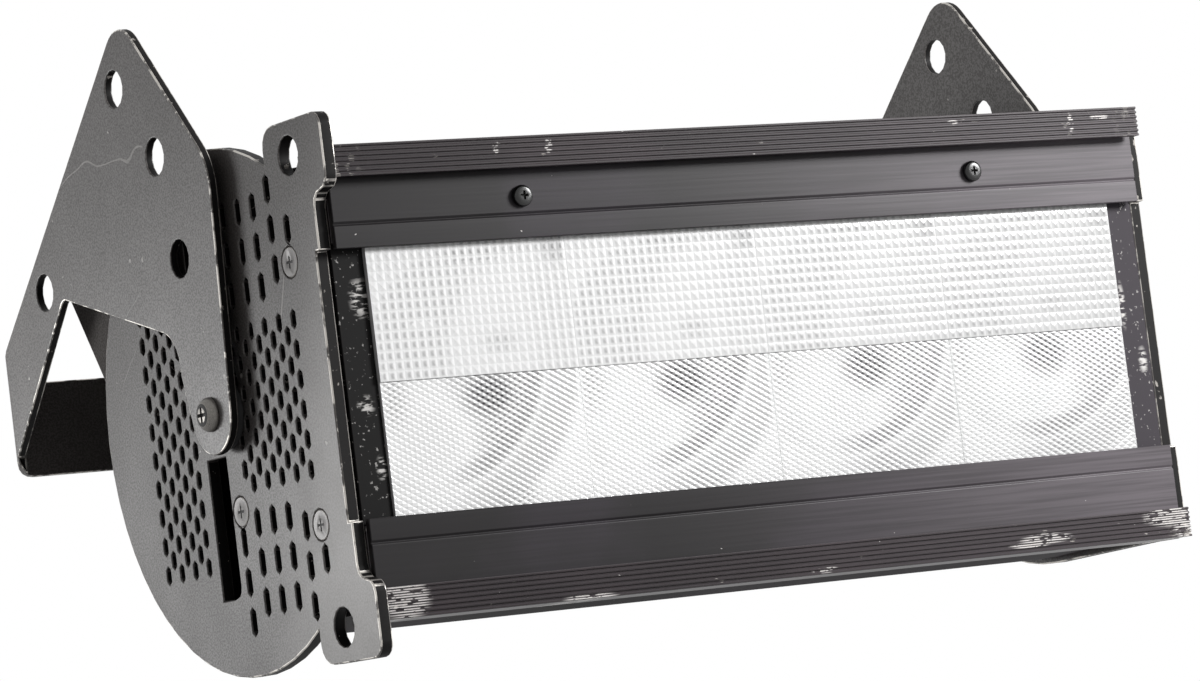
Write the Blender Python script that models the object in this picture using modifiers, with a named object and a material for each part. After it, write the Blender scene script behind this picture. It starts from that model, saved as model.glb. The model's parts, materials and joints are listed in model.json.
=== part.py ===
"""Linear LED wash light on a bent yoke: four lens cells in a drum-shaped extruded body.

Metres, +Z up. The lamp faces -Y and its long axis is X. The origin is on the standing
plane, midway between the ends and between the front and the cross-bar.

Section outlines are written as (y, z) with y measured back from the ribbed rails' front
face and z from the tilt axis; HEAD places them.
"""

import math

import bmesh
import bpy
from mathutils import Matrix, Vector

MM = 0.001
GAP = 0.3 * MM                      # running and assembly clearance between pieces

# Front rails, bezels and window
RAIL_LENGTH = 325 * MM
RAIL_HALF_HEIGHT = 76.1 * MM        # tilt axis to the outer face of either rail
LIP_HEIGHT = 10.3 * MM              # ribbed lip that overhangs the accessory channel
LIP_THICKNESS = 3.0 * MM
ROOF_THICKNESS = 3.0 * MM
ROOF_DEPTH = 24 * MM
RIB_COUNT = 6
RIB_DEPTH = 0.6 * MM
BEZEL_SETBACK = 5.75 * MM
BEZEL_THICKNESS = 2.45 * MM
BEZEL_GROOVE = 0.7 * MM
BEZEL_GROOVE_RISE = 7.8 * MM        # window edge up to the groove along the bezel
WEB_THICKNESS = 3.5 * MM
WINDOW_HALF_HEIGHT = 43.3 * MM
WEB_COVER = 2.2 * MM                # how far the web's edge stays behind the bezel's
TRIM_SETBACK = 10.3 * MM
TRIM_WALL = 1.5 * MM
TRIM_DEPTH = 14.3 * MM

# Optics
CELL_COUNT = 4
WINDOW_MARGIN = 11.9 * MM           # rail end to the first lens cell
CELL_PITCH = (RAIL_LENGTH - 2 * WINDOW_MARGIN) / CELL_COUNT
LENS_THICKNESS = 3.0 * MM
LENS_STEP = 0.6 * MM                # the fine lower half stands this far back
REFLECTOR_DEPTH = 29.8 * MM
REFLECTOR_MARGIN = 1.15 * MM        # bowl's rim to the edge of its cell
REFLECTOR_RIM = CELL_PITCH / 2 - REFLECTOR_MARGIN
REFLECTOR_NECK = 10.6 * MM
REFLECTOR_WALL = 1.2 * MM
LED_RADIUS = 9.5 * MM
LED_HEIGHT = 1.3 * MM
LED_BOARD_THICKNESS = 1.6 * MM
LED_BOARD_HEIGHT = 40 * MM

# Heat sink, chassis and electronics
SINK_MARGIN = 12.5 * MM             # rail end to the end of sink and chassis
SINK_LENGTH = RAIL_LENGTH - 2 * SINK_MARGIN
SINK_BASE = 5.0 * MM
SINK_HALF_HEIGHT = 48 * MM
FIN_THICKNESS = 1.6 * MM
FINS_TO_PORT = 5                    # fins from the middle one to the one with a screw port
PORT_WALL = 1.6 * MM
CHASSIS_THICKNESS = 2.0 * MM
CHASSIS_HALF_HEIGHT = 58 * MM
SUPPLY_SIZE = (140 * MM, 30 * MM, 60 * MM)
SUPPLY_OFFSET = -76 * MM
BOARD_THICKNESS = 1.6 * MM
DRIVER_SIZE = (136 * MM, 74 * MM)
DRIVER_OFFSET = 76 * MM
STANDOFF = 5.0 * MM

# Drum housing
DRUM_RADIUS = RAIL_HALF_HEIGHT - 0.1 * MM
DRUM_WALL = 2.0 * MM
DRUM_FRONT = 14 * MM                # front edge of the housing's flange under the roof
FIN_RIB_ANGLES = range(20, 64, 6)   # degrees below the rear centre line
FIN_RIB_WIDTH = 2.5 * MM
FIN_RIB_HEIGHT = 2.5 * MM
BOX_WALL = 1.5 * MM
BOX_FLOOR = 21 * MM                 # underside of the wiring box above the tilt axis
BOX_TOP = RAIL_HALF_HEIGHT - 0.2 * MM
BOX_BACK = (
    (DRUM_RADIUS + 17.5 * MM, BOX_FLOOR),
    (DRUM_RADIUS + 40 * MM, BOX_TOP - 18.9 * MM),
    (DRUM_RADIUS + 32 * MM, BOX_TOP),
)
BOX_FRONT = 14 * MM                 # front edge of its lid behind the tilt axis

# Tilt axis
AXIS_SETBACK = 82 * MM              # rail face back to the tilt axis
PIVOT_RADIUS = 3.0 * MM
PIVOT_HEAD_RADIUS = 5.75 * MM
PIVOT_HEAD_HEIGHT = 3.4 * MM
NUT_ACROSS = 10 * MM
NUT_THICKNESS = 5.0 * MM
WASHER_RADIUS = 12 * MM
WASHER_THICKNESS = 2.6 * MM

# End plates
END_PLATE_THICKNESS = 4.5 * MM
LEFT_RADIUS = 87.5 * MM             # the lamp stands on this round back and the lower ear
RIGHT_RADIUS = 78 * MM
EAR_PROUD = 1.0 * MM                # ears stand this far in front of the rails
EAR_REAR = 38 * MM
EAR_FRONT_CORNER = 5.0 * MM
EAR_REAR_CORNER = 7.0 * MM
EAR_NECK = 67 * MM                  # where the ear's front edge steps back
EDGE_SETBACK = 8.5 * MM             # front edge behind the bezels
EDGE_DEEP_SETBACK = 11 * MM         # front edge beside the window
EDGE_STEP = 43.5 * MM
BOLT_RADIUS = 6.5 * MM              # M12 clearance, in ears and arms
BOLT_STEPS = 14
EAR_HOLE = (21.6 * MM, 76.2 * MM)
PORTS = ((28.6 * MM, 42.6 * MM), (80.7 * MM, 32.9 * MM))

# Vents: (length, width) of a slot, and its spacing
FINE_SLOT = (6.25 * MM, 3.0 * MM)
FINE_PITCH = 9.78 * MM
FINE_FRONT = 30.6 * MM              # first column of the front zone
FINE_FRONT_COLUMNS = 5
FINE_FRONT_ROWS = 6
FINE_REAR = 107.3 * MM
FINE_REAR_COLUMNS = 4
FINE_REAR_ROWS = 11
COARSE_SLOT = (9.5 * MM, 3.4 * MM)
COARSE_PITCH = (10.6 * MM, 13.1 * MM)
COARSE_FRONT = 27.7 * MM
COARSE_STARTS = ((1, 53.4), (3, 41.8), (3, 37.5), (3, 37.5), (3, 37.5), (3, 43.2))
LONG_SLOT = (86.8 * MM, 99.9 * MM)
LONG_SLOT_SPAN = (14 * MM, 61 * MM)
LONG_SLOT_CORNER = 4.0 * MM
RIGHT_VENT_ROWS = 2                 # rows above and below the middle one
RIGHT_REAR_COLUMNS = 4

# Cross-head screws
CSK_RADIUS = 5.0 * MM
CSK_DEPTH = 3.0 * MM
CSK_SHANK = 2.2 * MM
CSK_LENGTH = 21 * MM
RECESS_WIDTH = 1.1 * MM
RECESS_DEPTH = 1.4 * MM
BEZEL_SCREW_OFFSET = 91.3 * MM
BEZEL_SCREW_RISE = 57 * MM
BEZEL_SCREW_RADIUS = 3.6 * MM
BEZEL_SCREW_HEIGHT = 2.0 * MM
BEZEL_SHANK = 1.6 * MM

# Wing screw on the right end plate
WING_CENTRE = (22.3 * MM, -18 * MM)
WING_REACH = 9.6 * MM
WING_LOBE = 6.0 * MM
WING_WAIST = 3.2 * MM
WING_THICKNESS = 2.4 * MM
WING_LEAN = 6                       # degrees
WING_SHANK = 2.2 * MM

# Fans
FAN_SIZE = 50 * MM
FAN_DEPTH = 10 * MM
FAN_SETBACK = 50.5 * MM
FAN_BORE = 23.5 * MM
FAN_HUB = 9.0 * MM
FAN_SPIDER = 2.0 * MM
FAN_CORNER = 3.0 * MM
BLADE_COUNT = 7
BLADE_PITCH = 38                    # degrees

# Rear panel and what it carries
PANEL_LENGTH = 192 * MM
PANEL_HEIGHT = 36 * MM
PANEL_THICKNESS = 2.0 * MM
PANEL_INSET = 2.8 * MM              # rear panel's face inside the drum's rearmost line
PANEL_SETBACK = AXIS_SETBACK + DRUM_RADIUS - PANEL_INSET
POWER_AT = (-74 * MM, -40 * MM)
DATA_AT = (-8 * MM, 20 * MM)
POWER_RADIUS = 12 * MM
DATA_RADIUS = 10.5 * MM
FLANGE_EXTRA = 3.0 * MM
FLANGE_THICKNESS = 2.2 * MM
SOCKET_WALL = 2.0 * MM
SOCKET_DEPTH = 12 * MM
BARREL_DEPTH = 16 * MM
DISPLAY_SIZE = (40 * MM, 13 * MM)
DISPLAY_AT = (62 * MM, 8 * MM)
BUTTON_AT = (47 * MM, 57 * MM, 67 * MM, 77 * MM)
BUTTON_RISE = -8 * MM
BUTTON_RADIUS = 3.4 * MM
BUTTON_PROUD = 2.0 * MM
BUTTON_COLLAR = 0.9 * MM
BUTTON_COLLAR_DEPTH = 1.4 * MM
BUTTON_TRAVEL = 1.0 * MM
CONTROL_SIZE = (52 * MM, 30 * MM)

# Yoke: side outline as (y, z) from the tilt axis
YOKE_THICKNESS = 3.0 * MM
YOKE_REACH = 151 * MM               # tilt axis back to the cross-bar's rear face
YOKE_BEND = 5.0 * MM
YOKE_LOBE = 13.5 * MM
REAR_HOLE = (YOKE_REACH / MM - 40.1, 56.2)
YOKE_HOLES = ((42.2, 116.0), (18.5, 89.0), (9.3, 53.3), REAR_HOLE)
APEX = (35.2 * MM, 123.1 * MM)      # centre of the rounded top corner
APEX_RADIUS = 12 * MM
SHOULDER = (4.7 * MM, 73.3 * MM)    # centre of the rounded front shoulder
SHOULDER_RADIUS = 22 * MM
NOTCH_INSET = 54.6 * MM
NOTCH = (YOKE_REACH - NOTCH_INSET, 47.4 * MM)   # centre of the notch's rounded top
NOTCH_RADIUS = 4.0 * MM
HEEL_RISE = 2.5 * MM                # lower end of the arm's edge behind the notch
ARM_TOP = 36.5 * MM                 # where the arm's rear edge meets the bend
THROAT = (31.5 * MM, 17.5 * MM)     # centre of the concave curve beside the lobe
THROAT_RADIUS = 14 * MM
BAR_HALF_HEIGHT = 16.65 * MM
BAR_RISE = 12.05 * MM               # tilt axis up to the bar's centre line
BAR_CORNER = 7.0 * MM
BAR_HOLES = (-55 * MM, 0.0, 55 * MM)

# Places worked out from the sizes above
PLATE_INNER = RAIL_LENGTH / 2 + GAP
PLATE_OUTER = PLATE_INNER + END_PLATE_THICKNESS
ARM_INNER = PLATE_OUTER + WASHER_THICKNESS + 2 * GAP
ARM_OUTER = ARM_INNER + YOKE_THICKNESS
DEPTH = EAR_PROUD + AXIS_SETBACK + YOKE_REACH
FACE_Y = EAR_PROUD - DEPTH / 2
AXIS_Y = FACE_Y + AXIS_SETBACK
AXIS_Z = LEFT_RADIUS
HEAD = Vector((0, FACE_Y, AXIS_Z))
TILT_AXIS = Vector((0, AXIS_Y, AXIS_Z))
BEZEL_BACK = BEZEL_SETBACK + BEZEL_THICKNESS
WEB_FRONT = BEZEL_BACK + GAP
WEB_BACK = WEB_FRONT + WEB_THICKNESS
WEB_EDGE = WINDOW_HALF_HEIGHT + WEB_COVER
LENS_FRONT = BEZEL_BACK + GAP
LENS_HALF_HEIGHT = WEB_EDGE - GAP
REFLECTOR_FRONT = LENS_FRONT + LENS_THICKNESS + GAP
LED_BOARD_FRONT = REFLECTOR_FRONT + REFLECTOR_DEPTH + GAP
SINK_FRONT = LED_BOARD_FRONT + LED_BOARD_THICKNESS + GAP
FIN_ROOT = SINK_FRONT + SINK_BASE
PORT_RADIUS = CSK_SHANK + GAP + PORT_WALL
FIN_TIP = PORTS[1][0] + PORT_RADIUS
CHASSIS_FRONT = FIN_TIP + GAP
CHASSIS_BACK = CHASSIS_FRONT + CHASSIS_THICKNESS
FIN_PITCH = PORTS[1][1] / FINS_TO_PORT
PANEL_FRONT = PANEL_SETBACK - PANEL_THICKNESS
COLLAR_FRONT = PANEL_FRONT - GAP - BUTTON_COLLAR_DEPTH
CONTROL_BACK = COLLAR_FRONT - BUTTON_TRAVEL - 3 * GAP
WASHER_OUT = PLATE_OUTER + GAP + WASHER_THICKNESS


# Degrees a chord of a large arc spans
ARC_STEP = 6.5


def clear_scene():
    for old in list(bpy.data.objects):
        bpy.data.objects.remove(old, do_unlink=True)


def new_collection(name):
    collection = bpy.data.collections.new(name)
    bpy.context.scene.collection.children.link(collection)
    return collection


def new_material(name, colour, roughness, metallic=0.0):
    material = bpy.data.materials.new(name)
    material.use_nodes = True
    shader = material.node_tree.nodes["Principled BSDF"]
    shader.inputs["Base Color"].default_value = (*colour, 1.0)
    shader.inputs["Roughness"].default_value = roughness
    shader.inputs["Metallic"].default_value = metallic
    return material


clear_scene()
PARTS = new_collection("linear_led_wash_light")
CUTTERS = new_collection("cutters")
COATED = new_material("satin_powder_coat", (0.20, 0.19, 0.18), 0.5)
ANODISED = new_material("black_anodised_aluminium", (0.045, 0.040, 0.045), 0.42, 0.6)
STEEL = new_material("zinc_plated_steel", (0.62, 0.61, 0.58), 0.3, 1.0)
BLACK_STEEL = new_material("blackened_steel", (0.02, 0.02, 0.02), 0.4, 0.8)
ALUMINIUM = new_material("bare_aluminium", (0.72, 0.73, 0.74), 0.4, 1.0)
ACRYLIC = new_material("clear_acrylic", (0.92, 0.93, 0.94), 0.15)
CHROMED = new_material("metallised_reflector", (0.85, 0.85, 0.86), 0.12, 1.0)
BOARD = new_material("board_laminate", (0.02, 0.11, 0.05), 0.5)
WHITE_BOARD = new_material("white_led_board", (0.8, 0.8, 0.78), 0.5)
PHOSPHOR = new_material("led_phosphor", (0.85, 0.70, 0.25), 0.4)
PLASTIC = new_material("black_moulded_plastic", (0.03, 0.03, 0.03), 0.5)
NYLON = new_material("nylon_washer", (0.06, 0.06, 0.06), 0.6)
RUBBER = new_material("silicone_button", (0.10, 0.10, 0.11), 0.7)


def place(obj, collection, material):
    for old in list(obj.users_collection):
        old.objects.unlink(obj)
    collection.objects.link(obj)
    obj.data.materials.clear()
    obj.data.materials.append(material)
    if collection is CUTTERS:
        obj.hide_render = True
        obj.display_type = "WIRE"
    return obj


def arc(centre, radius, start, end, steps=None):
    """Points along an arc, both ends included; angles in degrees."""
    steps = steps or max(1, round(abs(end - start) / ARC_STEP))
    angles = [math.radians(start + (end - start) * i / steps) for i in range(steps + 1)]
    return [(centre[0] + radius * math.cos(a), centre[1] + radius * math.sin(a)) for a in angles]


def circle(centre, radius, steps):
    return arc(centre, radius, 0, 360 - 360 / steps, steps - 1)


def rectangle(low, high):
    return [low, (high[0], low[1]), high, (low[0], high[1])]


def rounded_rectangle(low, high, radius, steps=3):
    corners = (
        ((high[0] - radius, high[1] - radius), 0),
        ((low[0] + radius, high[1] - radius), 90),
        ((low[0] + radius, low[1] + radius), 180),
        ((high[0] - radius, low[1] + radius), 270),
    )
    return [p for centre, start in corners for p in arc(centre, radius, start, start + 90, steps)]


def mirrored(points):
    """The same points on the other side of the tilt axis's level, in reverse order."""
    return [(y, -z) for y, z in reversed(points)]


def tangent_angle(point, centre, radius):
    """Angle of the touching point, on the far side in turning sense, of a line to a circle."""
    offset = (point[0] - centre[0], point[1] - centre[1])
    reach = math.hypot(*offset)
    return math.degrees(math.atan2(offset[1], offset[0]) - math.acos(radius / reach))


# Local x and y of a flat outline go to these world directions, its thickness to the third
TURN_TO = {
    "X": (math.pi / 2, 0, math.pi / 2),
    "Y": (math.pi / 2, 0, 0),
    "Z": (0, 0, 0),
}


def extrusion(name, outlines, axis, low, high, material, origin=HEAD, collection=None):
    """A filled outline with its holes, pulled along an axis from low to high."""
    data = bpy.data.curves.new(name, "CURVE")
    data.dimensions = "2D"
    data.fill_mode = "BOTH"
    data.extrude = (high - low) / 2
    for points in outlines:
        spline = data.splines.new("POLY")
        spline.points.add(len(points) - 1)
        for knot, (x, y) in zip(spline.points, points):
            knot.co = (x, y, 0, 1)
        spline.use_cyclic_u = True
    curve = bpy.data.objects.new(name, data)
    bpy.context.scene.collection.objects.link(curve)
    curve.rotation_euler = TURN_TO[axis]
    along = Vector([(low + high) / 2 if axis == letter else 0 for letter in "XYZ"])
    curve.location = origin + along
    return as_mesh(curve, name, material, collection or PARTS)


def as_mesh(curve, name, material, collection):
    """A mesh object in the curve's place, with its caps welded on."""
    bpy.context.view_layer.update()
    graph = bpy.context.evaluated_depsgraph_get()
    mesh = bpy.data.meshes.new_from_object(curve.evaluated_get(graph))
    body = bmesh.new()
    body.from_mesh(mesh)
    bmesh.ops.remove_doubles(body, verts=body.verts, dist=1e-6)
    even_caps(body)
    bmesh.ops.recalc_face_normals(body, faces=body.faces)
    body.to_mesh(mesh)
    body.free()
    mesh.shade_smooth()
    mesh.set_sharp_from_angle(angle=math.radians(35))
    matrix = curve.matrix_world.copy()
    bpy.data.objects.remove(curve, do_unlink=True)
    obj = bpy.data.objects.new(name, mesh)
    bpy.context.scene.collection.objects.link(obj)
    obj.matrix_world = matrix
    return place(obj, collection, material)


def even_caps(body):
    """Turn the caps' inner edges so that no triangle is left flat between points in line."""
    level = {face for face in body.faces if len({round(v.co.z, 6) for v in face.verts}) == 1}
    inner = [edge for edge in body.edges if level.issuperset(edge.link_faces)]
    bmesh.ops.beautify_fill(body, faces=list(level), edges=inner)


# A turned piece's own axis, local +Z, points this way
POINT_ALONG = {
    "+X": (0, math.pi / 2, 0),
    "-X": (0, -math.pi / 2, 0),
    "+Y": (-math.pi / 2, 0, 0),
    "-Y": (math.pi / 2, 0, 0),
}


def turned(name, profile, towards, location, steps, material, collection=None):
    """A profile of (radius, height), top to bottom down its outer side, turned round local Z."""
    mesh = bpy.data.meshes.new(name)
    shape = bmesh.new()
    knots = [shape.verts.new((radius, 0, height)) for radius, height in profile]
    closed = profile[0][0] > 0
    for first, second in zip(knots, knots[1:] + knots[:1] if closed else knots[1:]):
        shape.edges.new((first, second))
    shape.to_mesh(mesh)
    shape.free()
    obj = bpy.data.objects.new(name, mesh)
    bpy.context.scene.collection.objects.link(obj)
    obj.location = location
    obj.rotation_euler = POINT_ALONG[towards]
    screw = obj.modifiers.new("turn", "SCREW")
    screw.axis = "Z"
    screw.steps = screw.render_steps = steps
    screw.use_merge_vertices = True
    screw.merge_threshold = 1e-6
    screw.use_smooth_shade = False
    return place(obj, collection or PARTS, material)


def block(name, low, high, material, collection=None, origin=HEAD):
    """A box between two corners."""
    bpy.ops.mesh.primitive_cube_add(size=1)
    obj = bpy.context.object
    obj.name = obj.data.name = name
    size = [h - l for l, h in zip(low, high)]
    obj.data.transform(Matrix.Diagonal((*size, 1)))
    obj.location = origin + (Vector(low) + Vector(high)) / 2
    return place(obj, collection or PARTS, material)


def combine(obj, other, operation):
    """A Boolean on obj; the other shape becomes a hidden cutter. Cut pieces are shaded flat."""
    obj.data.shade_flat()
    other.data.shade_flat()
    modifier = obj.modifiers.new(operation.lower(), "BOOLEAN")
    modifier.operation = operation
    modifier.solver = "EXACT"
    modifier.object = other
    return obj


def joined(name, pieces):
    """Separate closed shapes as one hidden object, for a single Boolean."""
    mesh = bpy.data.meshes.new(name)
    shape = bmesh.new()
    bpy.context.view_layer.update()
    for piece in pieces:
        start = len(shape.verts)
        shape.from_mesh(piece.data)
        shape.verts.ensure_lookup_table()
        bmesh.ops.transform(shape, matrix=piece.matrix_world, verts=shape.verts[start:])
    shape.to_mesh(mesh)
    shape.free()
    for piece in pieces:
        bpy.data.objects.remove(piece, do_unlink=True)
    obj = bpy.data.objects.new(name, mesh)
    bpy.context.scene.collection.objects.link(obj)
    return place(obj, CUTTERS, PLASTIC)


def at(x, y, z):
    """A head coordinate as a world place."""
    return HEAD + Vector((x, y, z))


def rail_section():
    """Lip, roof and web of the upper rail, with the lip's face grooved."""
    top = RAIL_HALF_HEIGHT
    pitch = LIP_HEIGHT / (2 * RIB_COUNT + 1)
    face = []
    for rib in range(RIB_COUNT):
        groove = top - (2 * rib + 1) * pitch
        face += [(0, groove), (RIB_DEPTH, groove), (RIB_DEPTH, groove - pitch), (0, groove - pitch)]
    roof = top - ROOF_THICKNESS
    return [
        (0, top),
        *face,
        (0, top - LIP_HEIGHT),
        (LIP_THICKNESS, top - LIP_HEIGHT),
        (LIP_THICKNESS, roof),
        (WEB_FRONT, roof),
        (WEB_FRONT, WEB_EDGE),
        (WEB_BACK, WEB_EDGE),
        (WEB_BACK, roof),
        (ROOF_DEPTH, roof),
        (ROOF_DEPTH, top),
    ]


def make_rails():
    half = RAIL_LENGTH / 2
    extrusion("top_rail", [rail_section()], "X", -half, half, ANODISED)
    extrusion("bottom_rail", [mirrored(rail_section())], "X", -half, half, ANODISED)


def bezel_section():
    """A flat strip with one shallow groove along its face."""
    low = WINDOW_HALF_HEIGHT
    high = RAIL_HALF_HEIGHT - ROOF_THICKNESS - GAP
    groove = low + BEZEL_GROOVE_RISE
    return [
        (BEZEL_SETBACK, low),
        (BEZEL_BACK, low),
        (BEZEL_BACK, high),
        (BEZEL_SETBACK, high),
        (BEZEL_SETBACK, groove + BEZEL_GROOVE),
        (BEZEL_SETBACK + BEZEL_GROOVE, groove),
        (BEZEL_SETBACK, groove - BEZEL_GROOVE),
    ]


def make_bezels():
    half = RAIL_LENGTH / 2
    top = extrusion("top_bezel", [bezel_section()], "X", -half, half, ANODISED)
    extrusion("bottom_bezel", [mirrored(bezel_section())], "X", -half, half, ANODISED)
    profile = pan_head(BEZEL_SCREW_RADIUS, BEZEL_SCREW_HEIGHT, BEZEL_SHANK, WEB_BACK - BEZEL_SETBACK)
    rail = bpy.data.objects["top_rail"]
    for name, x in (("left", -BEZEL_SCREW_OFFSET), ("right", BEZEL_SCREW_OFFSET)):
        seat = at(x, BEZEL_SETBACK - GAP, BEZEL_SCREW_RISE)
        screw = turned(f"bezel_screw_{name}", profile, "-Y", seat, 10, BLACK_STEEL)
        cross_recess(screw, seat, "-Y", BEZEL_SCREW_HEIGHT, BEZEL_SCREW_RADIUS * 0.55)
        bore = cylinder(f"bezel_bore_{name}", "Y", seat, BEZEL_SHANK + GAP, 4 * BEZEL_SETBACK)
        combine(top, bore, "DIFFERENCE")
        combine(rail, bore, "DIFFERENCE")


def cylinder(name, axis, centre, radius, length, steps=10):
    """A hidden cutter round a centre."""
    middle = Vector(centre)
    return extrusion(
        name, [circle((0, 0), radius, steps)], axis, -length / 2, length / 2, PLASTIC,
        origin=middle, collection=CUTTERS,
    )


def pan_head(radius, height, shank, length):
    """Domed head above its seat at height 0, and a plain shank below it."""
    return [
        (0, height),
        (radius * 0.62, height * 0.92),
        (radius, height * 0.45),
        (radius, 0),
        (shank, 0),
        (shank, -length),
        (0, -length),
    ]


def countersunk(length):
    """Flat head with its top at height 0, a cone and a plain shank."""
    rim = RECESS_DEPTH / 4
    return [
        (0, 0),
        (CSK_RADIUS, 0),
        (CSK_RADIUS, -rim),
        (CSK_SHANK, -CSK_DEPTH),
        (CSK_SHANK, -length),
        (0, -length),
    ]


def cross_recess(screw, seat, towards, height, reach):
    """A Phillips cross sunk into a screw's head."""
    half = RECESS_WIDTH / 2
    arm = [(half, half), (half, reach), (-half, reach)]
    outline = [
        (x * math.cos(turn) - y * math.sin(turn), x * math.sin(turn) + y * math.cos(turn))
        for turn in (math.radians(90 * quarter) for quarter in range(4))
        for x, y in arm
    ]
    sign = 1 if towards[0] == "+" else -1
    axis = towards[1]
    low, high = sorted((sign * (height - RECESS_DEPTH), sign * 2 * (height + RECESS_DEPTH)))
    cutter = extrusion(
        f"{screw.name}_recess", [outline], axis, low, high, PLASTIC, origin=Vector(seat),
        collection=CUTTERS,
    )
    combine(screw, cutter, "DIFFERENCE")


def make_side_trims():
    """L-shaped strips that close the window's ends; their flange runs back beside the fan."""
    inner = (CELL_COUNT * CELL_PITCH + GAP) / 2
    outer = RAIL_LENGTH / 2 - GAP
    front, back = TRIM_SETBACK, TRIM_SETBACK + TRIM_WALL
    half = WEB_EDGE - GAP
    section = [
        (inner, front),
        (outer, front),
        (outer, front + TRIM_DEPTH),
        (outer - TRIM_WALL, front + TRIM_DEPTH),
        (outer - TRIM_WALL, back),
        (inner, back),
    ]
    left = [(-x, y) for x, y in reversed(section)]
    extrusion("side_trim_right", [section], "Z", -half, half, ANODISED)
    extrusion("side_trim_left", [left], "Z", -half, half, ANODISED)


def cell_centres():
    first = -(CELL_COUNT - 1) * CELL_PITCH / 2
    return [first + i * CELL_PITCH for i in range(CELL_COUNT)]


def make_optics():
    """Per cell: a lens whose lower half is stepped back, a bowl and an emitter."""
    half = (CELL_PITCH - GAP) / 2
    back = LENS_FRONT + LENS_THICKNESS
    lens = [
        (LENS_FRONT + LENS_STEP, -LENS_HALF_HEIGHT),
        (back, -LENS_HALF_HEIGHT),
        (back, LENS_HALF_HEIGHT),
        (LENS_FRONT, LENS_HALF_HEIGHT),
        (LENS_FRONT, 0),
        (LENS_FRONT + LENS_STEP, 0),
    ]
    bowl = reflector_profile()
    led = [(0, LED_HEIGHT), (LED_RADIUS, LED_HEIGHT), (LED_RADIUS, 0), (0, 0)]
    for number, x in enumerate(cell_centres(), 1):
        extrusion(f"lens_cell_{number}", [lens], "X", x - half, x + half, ACRYLIC)
        turned(f"reflector_{number}", bowl, "-Y", at(x, LED_BOARD_FRONT - GAP, 0), 16, CHROMED)
        turned(f"led_emitter_{number}", led, "-Y", at(x, LED_BOARD_FRONT - GAP, 0), 12, PHOSPHOR)


def reflector_profile():
    """A parabolic bowl: height 0 at its neck, opening towards the lens."""
    count = 3
    inner = []
    for i in range(count + 1):
        share = i / count
        radius = REFLECTOR_NECK + (REFLECTOR_RIM - REFLECTOR_WALL - REFLECTOR_NECK) * share
        rise = (radius**2 - REFLECTOR_NECK**2) / (
            (REFLECTOR_RIM - REFLECTOR_WALL) ** 2 - REFLECTOR_NECK**2
        )
        inner.append((radius, REFLECTOR_DEPTH * rise))
    outer = [(radius + REFLECTOR_WALL, height) for radius, height in reversed(inner)]
    return outer + inner


def sink_outline():
    """Base plate with fins behind it; two fins and two front arms end in screw ports."""
    half_fin = FIN_THICKNESS / 2
    port = PORT_RADIUS
    front_port, rear_port = PORTS
    fins = int((SINK_HALF_HEIGHT - half_fin) / FIN_PITCH)
    spread = math.degrees(math.asin(half_fin / port))
    points = []
    for fin in range(-fins, fins + 1):
        z = fin * FIN_PITCH
        points.append((FIN_ROOT, z - half_fin))
        if abs(fin) == FINS_TO_PORT:
            centre = (rear_port[0], z)
            points += arc(centre, port, 180 + spread, 540 - spread, 10)
        else:
            points += [(FIN_TIP, z - half_fin), (FIN_TIP, z + half_fin)]
        points.append((FIN_ROOT, z + half_fin))
    top = [(FIN_ROOT, SINK_HALF_HEIGHT), (SINK_FRONT, SINK_HALF_HEIGHT)]
    arm = front_port[1] + half_fin
    top += [(SINK_FRONT, arm)]
    top += arc(front_port, port, spread, 360 - spread, 10)
    top += [(SINK_FRONT, arm - FIN_THICKNESS)]
    return points + top + mirrored(top)


def make_heat_sink():
    half = SINK_LENGTH / 2
    bores = [
        circle((y, side * z), CSK_SHANK + GAP, 8) for y, z in PORTS for side in (1, -1)
    ]
    extrusion("heat_sink", [sink_outline(), *bores], "X", -half, half, ALUMINIUM)
    block(
        "led_board",
        (-half, LED_BOARD_FRONT, -LED_BOARD_HEIGHT / 2),
        (half, LED_BOARD_FRONT + LED_BOARD_THICKNESS, LED_BOARD_HEIGHT / 2),
        WHITE_BOARD,
    )


def make_electronics():
    half = SINK_LENGTH / 2
    block(
        "inner_chassis",
        (-half, CHASSIS_FRONT, -CHASSIS_HALF_HEIGHT),
        (half, CHASSIS_BACK, CHASSIS_HALF_HEIGHT),
        STEEL,
    )
    length, depth, height = SUPPLY_SIZE
    front = CHASSIS_BACK + GAP
    supply = block(
        "power_supply",
        (SUPPLY_OFFSET - length / 2, front, -height / 2),
        (SUPPLY_OFFSET + length / 2, front + depth, height / 2),
        ALUMINIUM,
    )
    bevel = supply.modifiers.new("edges", "BEVEL")
    bevel.width = MM
    bevel.segments = 1
    width, rise = DRIVER_SIZE
    parts = [
        ((-0.42, 0.35), 10 * MM, 16 * MM),
        ((-0.10, -0.28), 14 * MM, 22 * MM),
        ((0.24, 0.22), 9 * MM, 18 * MM),
    ]
    circuit_board("driver_board", DRIVER_OFFSET, 0, (width, rise), front, STANDOFF, parts)
    display = [((0.0, 0.26), -3 * MM, 12 * MM)]
    circuit_board(
        "control_board", DISPLAY_AT[0], 0, CONTROL_SIZE, PANEL_FRONT - GAP,
        -(PANEL_FRONT - GAP - CONTROL_BACK), display,
    )


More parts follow.
